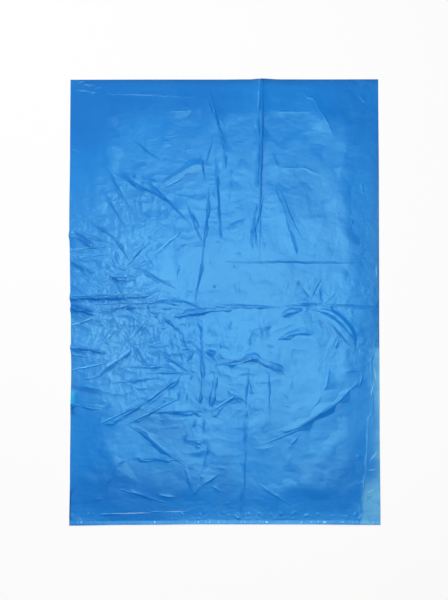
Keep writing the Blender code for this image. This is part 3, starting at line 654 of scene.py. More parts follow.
def facets(spacing, seed, stretch=1.0):
    """A field of flat tilted triangles with corners about this far apart, between -1 and 1."""
    rng = np.random.default_rng(seed)
    step_x, step_y = spacing, spacing * stretch
    corners_x = np.arange(-BAG_WIDTH / 2 - step_x, BAG_WIDTH / 2 + 2 * step_x, step_x)
    corners_y = np.arange(-BAG_LENGTH / 2 - step_y, BAG_LENGTH / 2 + 2 * step_y, step_y)
    x, y = np.meshgrid(corners_x, corners_y)
    x = (x + rng.uniform(-0.42, 0.42, x.shape) * step_x).ravel()
    y = (y + rng.uniform(-0.42, 0.42, y.shape) * step_y).ravel()
    heights = rng.uniform(-1, 1, x.size)
    net = delaunay_2d_cdt([Vector(point) for point in zip(x, y)], [], [], 0, 1e-7)
    field = np.zeros(lattice_x.shape)
    for triangle in net[2]:
        corners = [net[3][n][0] for n in triangle]
        fill_triangle(field, x[corners], y[corners], heights[corners])
    return field


def fill_triangle(field, x, y, heights):
    """Writes one flat tilted triangle into the field."""
    columns_hit = np.searchsorted(lattice_x[0], [x.min(), x.max()])
    rows_hit = np.searchsorted(lattice_y[:, 0], [y.min(), y.max()])
    window = slice(*rows_hit), slice(*columns_hit)
    px, py = lattice_x[window], lattice_y[window]
    area = (y[1] - y[2]) * (x[0] - x[2]) + (x[2] - x[1]) * (y[0] - y[2])
    if px.size == 0 or abs(area) < 1e-12:
        return
    a = ((y[1] - y[2]) * (px - x[2]) + (x[2] - x[1]) * (py - y[2])) / area
    b = ((y[2] - y[0]) * (px - x[2]) + (x[0] - x[2]) * (py - y[2])) / area
    c = 1 - a - b
    inside = (a >= -1e-6) & (b >= -1e-6) & (c >= -1e-6)
    field[window][inside] = (a * heights[0] + b * heights[1] + c * heights[2])[inside]


# %% [markdown]
# The weld was made by a hot bar, which melts the two plies together and shrinks the film beside it a
# little. That leaves a row of small puckers. Nobody could name the place of each, so chance places them,
# from a fixed seed.

# %% Short creases at chance places


def chance_crease(start, direction, length, height):
    """One short crease with a slight bend, from a start in metres."""
    bend = crease_chance.uniform(-0.35, 0.35)
    middle = start + 0.5 * length * np.array([math.cos(direction), math.sin(direction)])
    end = middle + 0.5 * length * np.array([math.cos(direction + bend), math.sin(direction + bend)])
    places = [(100 * (x / BAG_WIDTH + 0.5), 100 * (y / BAG_LENGTH + 0.5)) for x, y in (start, middle, end)]
    upper_run, lower_run = crease_chance.uniform(2.0, 4.5, 2)
    draw_crease(creases, "thread", height, upper_run, lower_run, places)


# %% Puckers along the weld, where the hot bar has drawn the film together
WELD_PUCKERS = 95
for _ in range(WELD_PUCKERS):
    start = straight_place(crease_chance.uniform(2, 98), crease_chance.normal(1.0, 0.12))
    direction = crease_chance.uniform(0, math.pi)
    length = crease_chance.uniform(1.5, 5) * MM
    chance_crease(start, direction, length, crease_chance.uniform(0.5, 1.3))
for across in np.arange(3, 98, 2.4):
    start = straight_place(across + crease_chance.uniform(-1, 1), 1.6)
    direction = math.radians(crease_chance.normal(95, 20))
    chance_crease(start, direction, crease_chance.uniform(3, 14) * MM, 0.5)
print("highest with the weld's puckers, mm:", round(creases.max() / MM, 2))

# %% Facets of the film, and where it is crumpled hard
crumpled = 0.1 + 0.8 * patch(12, 57, 15, 12) + 0.75 * patch(14, 42, 15, 9) + 0.4 * patch(32, 42, 14, 9)
crumpled += 0.3 * patch(24, 72, 12, 6) + 0.25 * patch(42, 17, 4, 9) + 0.2 * patch(56, 31, 9, 9)
crumpled += 0.2 * patch(80, 50, 20, 4) + 0.2 * patch(50, 42, 22, 8) + 0.15 * patch(88, 40, 10, 6)
crumpled += 0.15 * patch(30, 28, 14, 7) + 0.15 * patch(45, 66, 12, 10)
crumpled = np.clip(crumpled, 0, 1)

COARSE_FACET = 34 * MM
MEDIUM_FACET = 14 * MM
coarse_crumple = 1.3 * MM * blurred(facets(COARSE_FACET, FACET_SEED), 1.0 * MM)
medium_crumple = 0.5 * MM * blurred(facets(MEDIUM_FACET, FACET_SEED + 1), 0.8 * MM) * crumpled
soft_swells = 0.55 * MM * blurred(facets(20 * MM, FACET_SEED + 2), 4 * MM)
billows = 0.8 * MM * blurred(facets(95 * MM, FACET_SEED + 3), 16 * MM)
crumple = coarse_crumple * (0.3 + 0.7 * crumpled) + medium_crumple + soft_swells + billows
print("crumple, mm:", round(crumple.min() / MM, 2), "to", round(crumple.max() / MM, 2))

# %% [markdown]
# ## Heights of the two plies
# The back ply lies on the floor. The front ply lies on a little air, and comes down to the back ply at the
# side folds, at the mouth and at the weld. At its lower right edge the front ply is turned over, so a strip
# of the back ply shows alone there. The heights are sums of fields on the lattice, so each part can be
# changed by itself.

# %% The strip along the lower right edge, where the front ply is turned over and one ply alone shows
# (percent up, percent across) of the turned edge
STRIP_EDGE = [(0, 94), (1.4, 94), (6, 94.5), (9, 95), (12, 95.6), (15, 96), (20, 96.5), (24, 96.7), (25, 98),
              (29, 98), (37, 97.6), (39, 99.4), (42, 101), (100, 101)]
strip_ends = np.array(STRIP_EDGE, float).T
over_strip_edge = (across_percent - np.interp(along_percent, *strip_ends)) / 100 * BAG_WIDTH
strip_share = smooth(over_strip_edge / (1.2 * MM) + 0.5)
TURNED_EDGE_HEIGHT = 0.7 * MM
STRIP_TOP = 38
near_turn = np.clip(1 - np.abs(over_strip_edge + 1.0 * MM) / (2.6 * MM), 0, 1)
turned_edge = TURNED_EDGE_HEIGHT * near_turn * (along_percent < STRIP_TOP)
print("strip, share of the bag:", round(float(strip_share.mean()), 3))

# %% The front ply's clear height over the back ply
CUSHION_RUN = 60 * MM
WELD_RUN = 9 * MM
from_side = np.minimum(lattice_x + BAG_WIDTH / 2, BAG_WIDTH / 2 - lattice_x)
from_mouth = BAG_LENGTH / 2 - lattice_y
from_weld = np.maximum(WELD_LOW - lattice_y, lattice_y - WELD_HIGH)
open_film = smooth(from_side / CUSHION_RUN) * smooth(from_mouth / CUSHION_RUN)
open_film *= smooth(from_weld / CUSHION_RUN)
near_edge = smooth(from_side / (8 * MM))
relief = AIR_CUSHION * open_film + creases + crumple * (0.25 + 0.75 * open_film) * near_edge
relief = (relief + turned_edge) * (1 - 0.8 * strip_share)
relief = blurred(relief, 0.4 * MM)
relief = HIGHEST_RELIEF * np.tanh(np.clip(relief, 0, None) / HIGHEST_RELIEF)
front_gap = WELD_GAP + (PLY_GAP - WELD_GAP + relief) * smooth(from_weld / WELD_RUN)
back_relief = 0.5 * MM * (0.5 + 0.5 * blurred(facets(28 * MM, FACET_SEED + 4), 1.5 * MM)) * open_film
from_foot = lattice_y + BAG_LENGTH / 2
back_outer = back_relief + 0.4 * FOOT_CURL_HEIGHT * smooth(1 - from_foot / FOOT_CURL_RUN) ** 2
back_inner = back_outer + FILM_THICKNESS
front_inner = back_inner + front_gap
front_outer = front_inner + FILM_THICKNESS
print("film lies between 0 and", round(front_outer.max() / MM, 2), "mm")

# %% [markdown]
# ## The mesh
# The bag is one closed skin, as the film is: outer and inner faces of both plies, side folds, cut rims and
# the weld. Only the front's outer face needs the fine lattice, and a Decimate modifier then thins it where
# it is flat. The other faces are wide triangles that share the front's border points.

# %% The places of the fine grid and its borders
FINE_STEP = LATTICE
across_stations = np.linspace(0, 100, round(BAG_WIDTH / FINE_STEP) + 1)


def percent_up(y):
    """A length along the bag, in metres from its middle, as percent up from its foot."""
    return 100 * (y / BAG_LENGTH + 0.5)


skirt_stations = np.linspace(0, percent_up(WELD_LOW), 5)[:-1]
weld_stations = [percent_up(WELD_LOW), percent_up((WELD_LOW + WELD_HIGH) / 2)]
open_stations = np.linspace(percent_up(WELD_HIGH), 100, round((BAG_LENGTH - SKIRT_LENGTH) / FINE_STEP))
along_stations = np.concatenate([skirt_stations, weld_stations, open_stations])
WELD_LOW_ROW = len(skirt_stations)
WELD_HIGH_ROW = WELD_LOW_ROW + 2
last_column, last_row = len(across_stations) - 1, len(along_stations) - 1
print("fine grid:", last_column, "by", last_row)


class Skin:
    """All points and faces of the bag, gathered surface by surface."""

    def __init__(self):
        self.points = []
        self.faces = []
        self.count = 0

    def add_points(self, x, y, z):
        first = self.count
        self.points.append(np.column_stack([np.ravel(x), np.ravel(y), np.ravel(z)]))
        self.count += len(self.points[-1])
        return first + np.arange(len(self.points[-1]))

    def place(self, numbers):
        return np.concatenate(self.points)[numbers]


def strip(skin, first, second):
    """Quads between two chains of as many points."""
    skin.faces += [quad for quad in zip(first, first[1:], second[1:], second)]


def front_grid(skin):
    """The front's outer face, as a grid of quads. Returns its point numbers, row by row."""
    across, along = np.meshgrid(across_stations, along_stations)
    x, y = on_bag(across, along)
    numbers = skin.add_points(x, y, sampled(front_outer, across, along)).reshape(across.shape)
    for row in range(last_row):
        strip(skin, numbers[row], numbers[row + 1])
    return numbers


# %% Wide triangles for the faces that need no fine grid
def wide_plan(spacing):
    """A flat net over the bag in percent, with the fine grid's border and weld points and few between."""
    border = []
    index = {}

    def station(column, row):
        if (column, row) not in index:
            index[column, row] = len(border)
            border.append((across_stations[column], along_stations[row]))
        return index[column, row]

    chains = {
        "foot": [station(column, 0) for column in range(last_column + 1)],
        "mouth": [station(column, last_row) for column in range(last_column + 1)],
        "left": [station(0, row) for row in range(last_row + 1)],
        "right": [station(last_column, row) for row in range(last_row + 1)],
        "weld_low": [station(column, WELD_LOW_ROW) for column in range(last_column + 1)],
        "weld_high": [station(column, WELD_HIGH_ROW) for column in range(last_column + 1)],
    }
    first_inside = percent_up(WELD_HIGH) + 60 * spacing / BAG_LENGTH
    across_inside = np.arange(
        60 * spacing / BAG_WIDTH, 100 - 40 * spacing / BAG_WIDTH, 100 * spacing / BAG_WIDTH
    )
    along_inside = np.arange(first_inside, 100 - 40 * spacing / BAG_LENGTH, 100 * spacing / BAG_LENGTH)
    inside = [(u, v) for v in along_inside for u in across_inside]
    points = [Vector((u * BAG_WIDTH, v * BAG_LENGTH)) for u, v in border + inside]
    bends = [pair for chain in chains.values() for pair in zip(chain, chain[1:])]
    net = delaunay_2d_cdt(points, bends, [], 0, 1e-7)
    numbers = [olds[0] for olds in net[3]]
    triangles = [[numbers[n] for n in triangle] for triangle in net[2]]
    return np.array(border + inside), triangles, chains


def wide_face(skin, plan, heights, through_weld):
    """One face of a ply on a wide plan. Returns its border chains as point numbers."""
    places, triangles, chains = plan
    x, y = on_bag(places[:, 0], places[:, 1])
    numbers = skin.add_points(x, y, sampled(heights, places[:, 0], places[:, 1]))
    low, high = along_stations[WELD_LOW_ROW], along_stations[WELD_HIGH_ROW]
    for triangle in triangles:
        in_weld = low < places[triangle, 1].mean() < high
        if through_weld or not in_weld:
            skin.faces.append(tuple(numbers[triangle]))
    return {name: numbers[chain] for name, chain in chains.items()}


# %% Side folds, rims and weld walls
SIDE_BULGE = 0.45


def side_fold(skin, above, below, outwards, wall):
    """The turn of the film at a side, as a middle chain between two borders."""
    top, bottom = skin.place(above), skin.place(below)
    middle = (top + bottom) / 2
    middle[:, 0] += outwards * (SIDE_BULGE * (top[:, 2] - bottom[:, 2]) - wall)
    return skin.add_points(*middle.T)


def close_bag(skin, front, back, inner_front, inner_back):
    """Joins the four faces into one closed skin with two chambers: the bag and the skirt."""
    folds = {}
    for side, outwards in (("left", -1), ("right", 1)):
        outer = side_fold(skin, front[side], back[side], outwards, 0.0)
        inner = side_fold(skin, inner_front[side], inner_back[side], outwards, FILM_THICKNESS)
        strip(skin, front[side], outer)
        strip(skin, outer, back[side])
        for chamber in (slice(0, WELD_LOW_ROW + 1), slice(WELD_HIGH_ROW, None)):
            strip(skin, inner_front[side][chamber], inner[chamber])
            strip(skin, inner[chamber], inner_back[side][chamber])
        folds[side] = outer, inner
    for rim, end in (("mouth", -1), ("foot", 0)):
        loops = []
        for layer, (over, under) in enumerate(((front, back), (inner_front, inner_back))):
            left, right = folds["left"][layer][end], folds["right"][layer][end]
            loops.append([left, *over[rim], right, *under[rim][::-1], left])
        strip(skin, *loops)
    for name, row in (("weld_low", WELD_LOW_ROW), ("weld_high", WELD_HIGH_ROW)):
        above, below = inner_front[name], inner_back[name]
        strip(skin, above, below)
        skin.faces.append((above[0], folds["left"][1][row], below[0]))
        skin.faces.append((above[-1], folds["right"][1][row], below[-1]))


# %% Gather the faces and make the object
skin = Skin()
grid = front_grid(skin)
front_border = {
    "foot": grid[0],
    "mouth": grid[-1],
    "left": grid[:, 0],
    "right": grid[:, -1],
}
back_border = wide_face(skin, wide_plan(9 * MM), back_outer, True)
hidden_plan = wide_plan(22 * MM)
inner_front_border = wide_face(skin, hidden_plan, front_inner, False)
inner_back_border = wide_face(skin, hidden_plan, back_inner, False)
close_bag(skin, front_border, back_border, inner_front_border, inner_back_border)

film_mesh = bpy.data.meshes.new("film")
film_mesh.from_pydata(np.concatenate(skin.points).tolist(), [], [list(map(int, face)) for face in skin.faces])
film = bpy.data.objects.new("film", film_mesh)
bpy.context.scene.collection.objects.link(film)
bpy.ops.object.select_all(action="DESELECT")
film.select_set(True)
bpy.context.view_layer.objects.active = film
bpy.ops.object.mode_set(mode="EDIT")
bpy.ops.mesh.select_all(action="SELECT")
bpy.ops.mesh.delete_loose()
bpy.ops.mesh.select_all(action="SELECT")
bpy.ops.mesh.normals_make_consistent(inside=False)
bpy.ops.object.mode_set(mode="OBJECT")
print("film before thinning:", len(film_mesh.polygons), "faces")

# %% Thin the flat stretches
KEPT_SHARE = 0.25
thinned = film.vertex_groups.new(name="front_film")
thinned.add(grid[WELD_HIGH_ROW + 2:-2, 2:-2].ravel().tolist(), 1.0, "REPLACE")
thinning = film.modifiers.new("thinning", "DECIMATE")
thinning.ratio = KEPT_SHARE
thinning.vertex_group = thinned.name
bpy.ops.object.modifier_apply(modifier=thinning.name)
film.vertex_groups.clear()
bpy.ops.object.shade_smooth_by_angle(angle=math.radians(50))
film_mesh = film.data
film_mesh.calc_loop_triangles()
print("film:", len(film_mesh.loop_triangles), "triangles")

# %% Where the film is crumpled, as an attribute for its material
film_points = np.empty(3 * len(film_mesh.vertices))
film_mesh.vertices.foreach_get("co", film_points)
place_across = 100 * (film_points[0::3] / BAG_WIDTH + 0.5)
place_along = 100 * (film_points[1::3] / BAG_LENGTH + 0.5)
crumpled_marks = film_mesh.attributes.new("crumpled", "FLOAT", "POINT")
crumpled_marks.data.foreach_set("value", sampled(crumpled, place_across, place_along).astype(np.float32))
print("crumpled, mean share:", round(float(crumpled.mean()), 2))

# %% [markdown]
# ## The film's material
# Blown polyethylene film, coloured right through and a little milky. It has a soft shine, because its
# surface is not polished but frozen from a bubble of melt. A principled shader gives that with a roughness
# of 0.3 and a thin coat. The colour isn't even: it is pale where one ply lies alone, painted shade deepens
# it on steep film and along the edges, and painted highlights lighten a sliver of the left side fold and
# dots along the weld. Such tints are laid on the mesh's points, as a colour attribute.

# %% Colours and the node helper


def linear(hex_colour):
    """A hex colour as Blender wants it, in linear light."""
    parts = [int(hex_colour[i:i + 2], 16) / 255 for i in (0, 2, 4)]
    return (*[p / 12.92 if p <= 0.04045 else ((p + 0.055) / 1.055) ** 2.4 for p in parts], 1.0)


def add_node(tree, kind, links=None, **settings):
    """Adds a node, sets its properties and inputs, and links the inputs that are named in links."""
    node = tree.nodes.new(kind)
    for name, value in settings.items():
        if hasattr(node, name):
            setattr(node, name, value)
        else:
            node.inputs[name.replace("_", " ")].default_value = value
    for name, socket in (links or {}).items():
        tree.links.new(socket, node.inputs[name])
    return node


# %% Tints of the film, with painted shade and highlights along its edges and creases, as a colour attribute
# One ply alone over white paper is paler; the edges get painted shade and one painted highlight
FILM_COLOURS = ("0A73CC", "0F7AD3")
ONE_PLY = "62ACDC"
PAINTED_EDGE_SHADE = "07408F"
PAINTED_SLOPE_SHADE = "0463BE"
PAINTED_GLINT = "CDE9F8"
PAINTED_FOLD_HIGHLIGHT = "2FC4EC"
SHADED_SLIVERS = [(31, 35), (25, 27), (1, 8)]
LIT_SLIVERS = [(27, 30.5)]


def between(value, low, high, soft):
    """1 between two values and 0 outside them, with soft ends."""
    return smooth((value - low) / soft + 0.5) * smooth((high - value) / soft + 0.5)


tints = np.tile([*linear(FILM_COLOURS[0])[:3], 0.0], (len(place_across), 1))


def lay_tint(hex_colour, share):
    """Lays a colour over the tints at each point, by a share from 0 to 1."""
    share = np.clip(share, 0, 1)[:, None]
    rest = tints[:, 3:] * (1 - share)
    laid = tints[:, :3] * rest + np.array(linear(hex_colour)[:3]) * share
    tints[:, :3] = np.where(rest + share > 1e-3, laid / np.maximum(rest + share, 1e-3), tints[:, :3])
    tints[:, 3:] = rest + share


mottle = 0.75 + 0.5 * blurred(facets(9 * MM, FACET_SEED + 6), 1.5 * MM)
lay_tint(ONE_PLY, sampled(strip_share * mottle, place_across, place_along))
from_left_mm = place_across / 100 * BAG_WIDTH / MM
from_right_mm = (100 - place_across) / 100 * BAG_WIDTH / MM
from_mouth_mm = (100 - place_along) / 100 * BAG_LENGTH / MM
# Painted shade: a deeper colour where the creases are steep
slope_up, slope_across = np.gradient(creases, LATTICE)
steepness = np.hypot(slope_up, slope_across)
slope_shade_share = 0.3 * smooth((steepness - 0.14) / 0.28)
lay_tint(PAINTED_SLOPE_SHADE, sampled(slope_shade_share, place_across, place_along))
# Painted shade: thin darker lines along the mouth and along the right edge above the strip
lay_tint(PAINTED_EDGE_SHADE, 0.6 * smooth(1.8 - from_mouth_mm))
lay_tint(PAINTED_EDGE_SHADE, 0.45 * smooth(1.8 - from_right_mm) * (place_along > 40))
# Painted shade: short darker slivers along the left side fold
for low, high in SHADED_SLIVERS:
    lay_tint(PAINTED_EDGE_SHADE, between(place_along, low, high, 0.6) * smooth(2.2 - from_left_mm))
# Painted highlight: a short light sliver on the left side fold
for low, high in LIT_SLIVERS:
    lay_tint(PAINTED_FOLD_HIGHLIGHT, between(place_along, low, high, 0.6) * smooth(2.2 - from_left_mm))
# Painted glints: chance white dots along the weld, where the hot bar has drawn the film into puckers
weld_mm = np.abs(place_along / 100 * BAG_LENGTH - SKIRT_LENGTH) / MM
WELD_GLINTS = 330
glint_steps = np.linspace(0, 100, WELD_GLINTS)
glint_chance = np.interp(place_across, glint_steps, crease_chance.uniform(0, 1, WELD_GLINTS))
lay_tint(PAINTED_GLINT, np.clip(4 * (glint_chance - 0.8), 0, 1) * smooth(1.9 - weld_mm))
# Painted shade: a thin darker line along the foot
lay_tint(PAINTED_EDGE_SHADE, 0.35 * smooth(2.5 - place_along / 100 * BAG_LENGTH / MM))
tint_marks = film.data.attributes.new("tint", "FLOAT_COLOR", "POINT")
tint_marks.data.foreach_set("color", tints.astype(np.float32).ravel())
print("tinted points:", int((tints[:, 3] > 0.1).sum()))

# %% Blue polyethylene film
film_blue = bpy.data.materials.new("blue_polyethylene_blown_film")
film_blue.use_nodes = True
tree = film_blue.node_tree
tree.nodes.clear()
output = add_node(tree, "ShaderNodeOutputMaterial")
shader = add_node(tree, "ShaderNodeBsdfPrincipled")
# Polyethylene has an IOR of 1.51 and blown film a roughness of 0.2 to 0.4. Both are matched to the bag's
# glare
shader.inputs["Roughness"].default_value = 0.3
shader.inputs["IOR"].default_value = 1.58
shader.inputs["Specular Tint"].default_value = linear("98F4F6")
shader.inputs["Coat Weight"].default_value = 0.04
shader.inputs["Coat Roughness"].default_value = 0.28
tree.links.new(shader.outputs["BSDF"], output.inputs["Surface"])
place = add_node(tree, "ShaderNodeTexCoord")
haze = add_node(tree, "ShaderNodeTexNoise", {"Vector": place.outputs["Object"]}, Scale=1 / 0.12, Detail=3.0)
haze_share = add_node(
    tree, "ShaderNodeMapRange", {"Value": haze.outputs["Fac"]}, From_Min=0.35, From_Max=0.65
)
colour = add_node(tree, "ShaderNodeMix", {"Factor": haze_share.outputs["Result"]}, data_type="RGBA")
for socket, hex_colour in zip((colour.inputs[6], colour.inputs[7]), FILM_COLOURS):
    socket.default_value = linear(hex_colour)
tinted_here = add_node(tree, "ShaderNodeAttribute", attribute_name="tint")
tinted = add_node(tree, "ShaderNodeMix", {"Factor": tinted_here.outputs["Alpha"]}, data_type="RGBA")
tree.links.new(colour.outputs[2], tinted.inputs[6])
tree.links.new(tinted_here.outputs["Color"], tinted.inputs[7])
print("film material:", film_blue.name)

# %% [markdown]
# The material paints light and shade as marks: painted highlights along fold edges and at the right edge,
# painted shade in dark bands, deep folds and towards the corners, and a broad painted sheen on the left.
# These marks are finer than the mesh, or softer than anything it needs points for, so the material lays
# them by place: each is a long spot in Object coordinates.

# %% Painted light on the film: painted highlights, painted shade and a painted sheen
# (place in percent, half its length and half its width in mm, turn in degrees, colour, share)
# Painted highlights: light streaks along fold edges near the weld and the mouth, and lens-shaped ones at the
# right edge
PAINTED_HIGHLIGHT = "BFE3F8"
# Painted shade: dark bands along tilted strips and deep folds, and broad darker areas towards the corners and
# the mouth
PAINTED_SHADE = "0062BE"
# Painted sheen: a broad lighter area on the left
PAINTED_SHEEN = "5AA8E6"
LIGHT_AND_SHADE_MARKS = [
    ((20, 2.66), 36, 1.1, 1.2, PAINTED_HIGHLIGHT, 0.7), ((34, 3.05), 22, 0.8, 0.5, PAINTED_HIGHLIGHT, 0.5),
    ((6, 98.8), 12, 1.0, -4, PAINTED_HIGHLIGHT, 0.3), ((3.4, 99.3), 7, 0.9, 20, PAINTED_HIGHLIGHT, 0.25),
    ((9, 98.1), 8, 0.7, 6, PAINTED_HIGHLIGHT, 0.3), ((4.5, 97.4), 16, 0.9, -3, PAINTED_HIGHLIGHT, 0.35),
    ((22, 96.6), 40, 0.8, -1.5, PAINTED_HIGHLIGHT, 0.25), ((99, 57), 12, 1.1, 92, PAINTED_HIGHLIGHT, 0.35),
    ((98.6, 34), 13, 1.3, 95, PAINTED_HIGHLIGHT, 0.4), ((97.7, 30.5), 15, 1.2, 78, PAINTED_HIGHLIGHT, 0.4),
    ((98.2, 15.5), 12, 1.5, 50, PAINTED_HIGHLIGHT, 0.35), ((97.6, 12.4), 9, 1.0, 8, PAINTED_HIGHLIGHT, 0.35),
    ((97.2, 7.6), 10, 1.0, 25, PAINTED_HIGHLIGHT, 0.35), ((9, 54), 150, 190, 0, PAINTED_SHEEN, 0.24),
    ((12, 38), 110, 110, 0, PAINTED_SHEEN, 0.14), ((72, 59), 122, 0.8, -0.3, PAINTED_SHADE, 0.8),
    ((10, 50.7), 82, 7.0, 1, PAINTED_SHADE, 1.0), ((3.5, 48.2), 34, 10, -14, PAINTED_SHADE, 1.0),
    ((20, 48.6), 60, 4.0, 3, PAINTED_SHADE, 0.9), ((15.5, 54.8), 20, 6.5, -14, PAINTED_SHADE, 0.9),
    ((4, 57.7), 30, 5, -24, PAINTED_SHADE, 0.7), ((37, 48.3), 34, 3.5, -6, PAINTED_SHADE, 0.8),
    ((47, 48.9), 52, 2.6, 4, PAINTED_SHADE, 0.9), ((58, 48.8), 60, 1.2, -3, PAINTED_SHADE, 0.8),
    ((77, 49.1), 46, 1.2, 3, PAINTED_SHADE, 0.8), ((90, 48.8), 60, 1.2, -1.5, PAINTED_SHADE, 0.8),
    ((56.5, 13), 132, 0.9, 87.6, PAINTED_SHADE, 0.7), ((6, 39), 38, 6.5, -6, PAINTED_SHADE, 0.9),
    ((5, 63.8), 26, 6.0, -38, PAINTED_SHADE, 0.7), ((6, 30.2), 34, 6, -12, PAINTED_SHADE, 0.8),
    ((62.2, 84), 160, 3.2, 89.2, PAINTED_SHADE, 0.8), ((81, 24.4), 74, 6.0, 27, PAINTED_SHADE, 0.7),
    ((57, 36.6), 46, 7.0, 0, PAINTED_SHADE, 0.7), ((28, 22.5), 66, 34, -22, PAINTED_SHADE, 0.6),
    ((20, 8), 140, 60, 4, PAINTED_SHADE, 0.65), ((50, 10), 60, 22, 86, PAINTED_SHADE, 0.4), ((38, 79), 44, 12, 18, PAINTED_SHADE, 0.5),
    ((84, 10), 90, 60, 10, PAINTED_SHADE, 0.45), ((84, 44), 36, 9, -40, PAINTED_SHADE, 0.5),
    ((6, 93), 120, 70, 20, PAINTED_SHADE, 0.6), ((36, 95), 150, 40, 0, PAINTED_SHADE, 0.45), ((94, 96), 90, 90, 0, PAINTED_SHADE, 0.4),
]
painted_colour = tinted.outputs[2]
for (across, along), half_length, half_width, turn, hex_colour, share in LIGHT_AND_SHADE_MARKS:
    spot = add_node(tree, "ShaderNodeMapping", {"Vector": place.outputs["Object"]}, vector_type="TEXTURE")
    spot.inputs["Location"].default_value = (*straight_place(across, along), 0.0)
    spot.inputs["Rotation"].default_value = (0.0, 0.0, math.radians(turn))
    spot.inputs["Scale"].default_value = (half_length * MM, half_width * MM, 1.0)
    fade = add_node(tree, "ShaderNodeTexGradient", {"Vector": spot.outputs[0]}, gradient_type="SPHERICAL")
    strength = add_node(
        tree, "ShaderNodeMapRange", {"Value": fade.outputs["Fac"]}, From_Max=0.6, To_Max=share
    )
    painted_mark = add_node(tree, "ShaderNodeMix", {"Factor": strength.outputs["Result"]}, data_type="RGBA")
    tree.links.new(painted_colour, painted_mark.inputs[6])
    painted_mark.inputs[7].default_value = linear(hex_colour)
    painted_colour = painted_mark.outputs[2]
tree.links.new(painted_colour, shader.inputs["Base Color"])
print("marks:", len(LIGHT_AND_SHADE_MARKS))

# %% [markdown]
# Most of the fine creases in handled film have no place that anyone could name. They spring from knots,
# where the film was pinched, and fan out, or they cross the film at random where it was crumpled. They are
# finer than the mesh, so the material draws them as bump: noise that is folded at its middle value has just
# such sharp crests. An attribute says where the film is crumpled, and a list says where the knots lie. A
# real film's finest folds are under 0.5 mm wide, and these are drawn as coarse as they need to show.

# %% Faint ripples all over, and a chance shift that keeps every line from running straight
RIPPLE_SIZE = 0.006
stretched = add_node(tree, "ShaderNodeMapping", {"Vector": place.outputs["Object"]})
stretched.inputs["Scale"].default_value = (0.6, 1.0, 1.0)
ripple = add_node(
    tree, "ShaderNodeTexNoise", {"Vector": stretched.outputs[0]}, Scale=1 / RIPPLE_SIZE, Detail=3.0
)
relief_normal = add_node(
    tree, "ShaderNodeBump", {"Height": ripple.outputs["Fac"]}, Strength=1.0, Distance=0.00018
)
crumpled_here = add_node(tree, "ShaderNodeAttribute", attribute_name="crumpled")


def shifted(size, push):
    """The place on the film, pushed about by noise of this size."""
    noise = add_node(
        tree, "ShaderNodeTexNoise", {"Vector": place.outputs["Object"]}, Scale=1 / size, Detail=2.0
    )
    pushed = add_node(tree, "ShaderNodeVectorMath", {0: noise.outputs["Color"]}, operation="SCALE")
    pushed.inputs["Scale"].default_value = push
    moved = add_node(
        tree, "ShaderNodeVectorMath", {0: place.outputs["Object"], 1: pushed.outputs[0]}, operation="ADD"
    )
    return moved.outputs[0]


def number(operation, first, second=None):
    """A math node over two numbers or sockets."""
    node = add_node(tree, "ShaderNodeMath", operation=operation)
    for socket, value in zip(node.inputs, (first, second)):
        if isinstance(value, (int, float)):
            socket.default_value = value
        elif value is not None:
            tree.links.new(value, socket)
    return node.outputs[0]


def folded_noise(coordinates, scale, detail):
    """Noise folded at its middle: 0 along sharp crests, and up to about 0.2 between them."""
    noise = add_node(tree, "ShaderNodeTexNoise", {"Vector": coordinates}, Scale=scale, Detail=detail)
    return number("ABSOLUTE", number("SUBTRACT", noise.outputs["Fac"], 0.5))


# %% Creases that cross the crumpled film
# (size in metres, detail, height in metres, stretch across and along, turn in degrees)
CROSSING = [
    (0.05, 0.5, 0.0046, (1.0, 2.4), 25), (0.032, 0.5, 0.0023, (2.2, 1.0), 10),
    (0.011, 1.0, 0.001, (1.4, 1.0), -30),
]
shifted_place = shifted(0.05, 0.03)
crossing = []
for size, detail, height, stretch, turn in CROSSING:
    turned_place = add_node(tree, "ShaderNodeMapping", {"Vector": shifted_place})
    turned_place.inputs["Scale"].default_value = (*stretch, 0.0)
    turned_place.inputs["Rotation"].default_value = (0.0, 0.0, math.radians(turn))
    crossing.append(number("MULTIPLY", folded_noise(turned_place.outputs[0], 1 / size, detail), height))
crossing_height = number(
    "MULTIPLY", number("ADD", number("ADD", *crossing[:2]), crossing[2]), crumpled_here.outputs["Fac"]
)

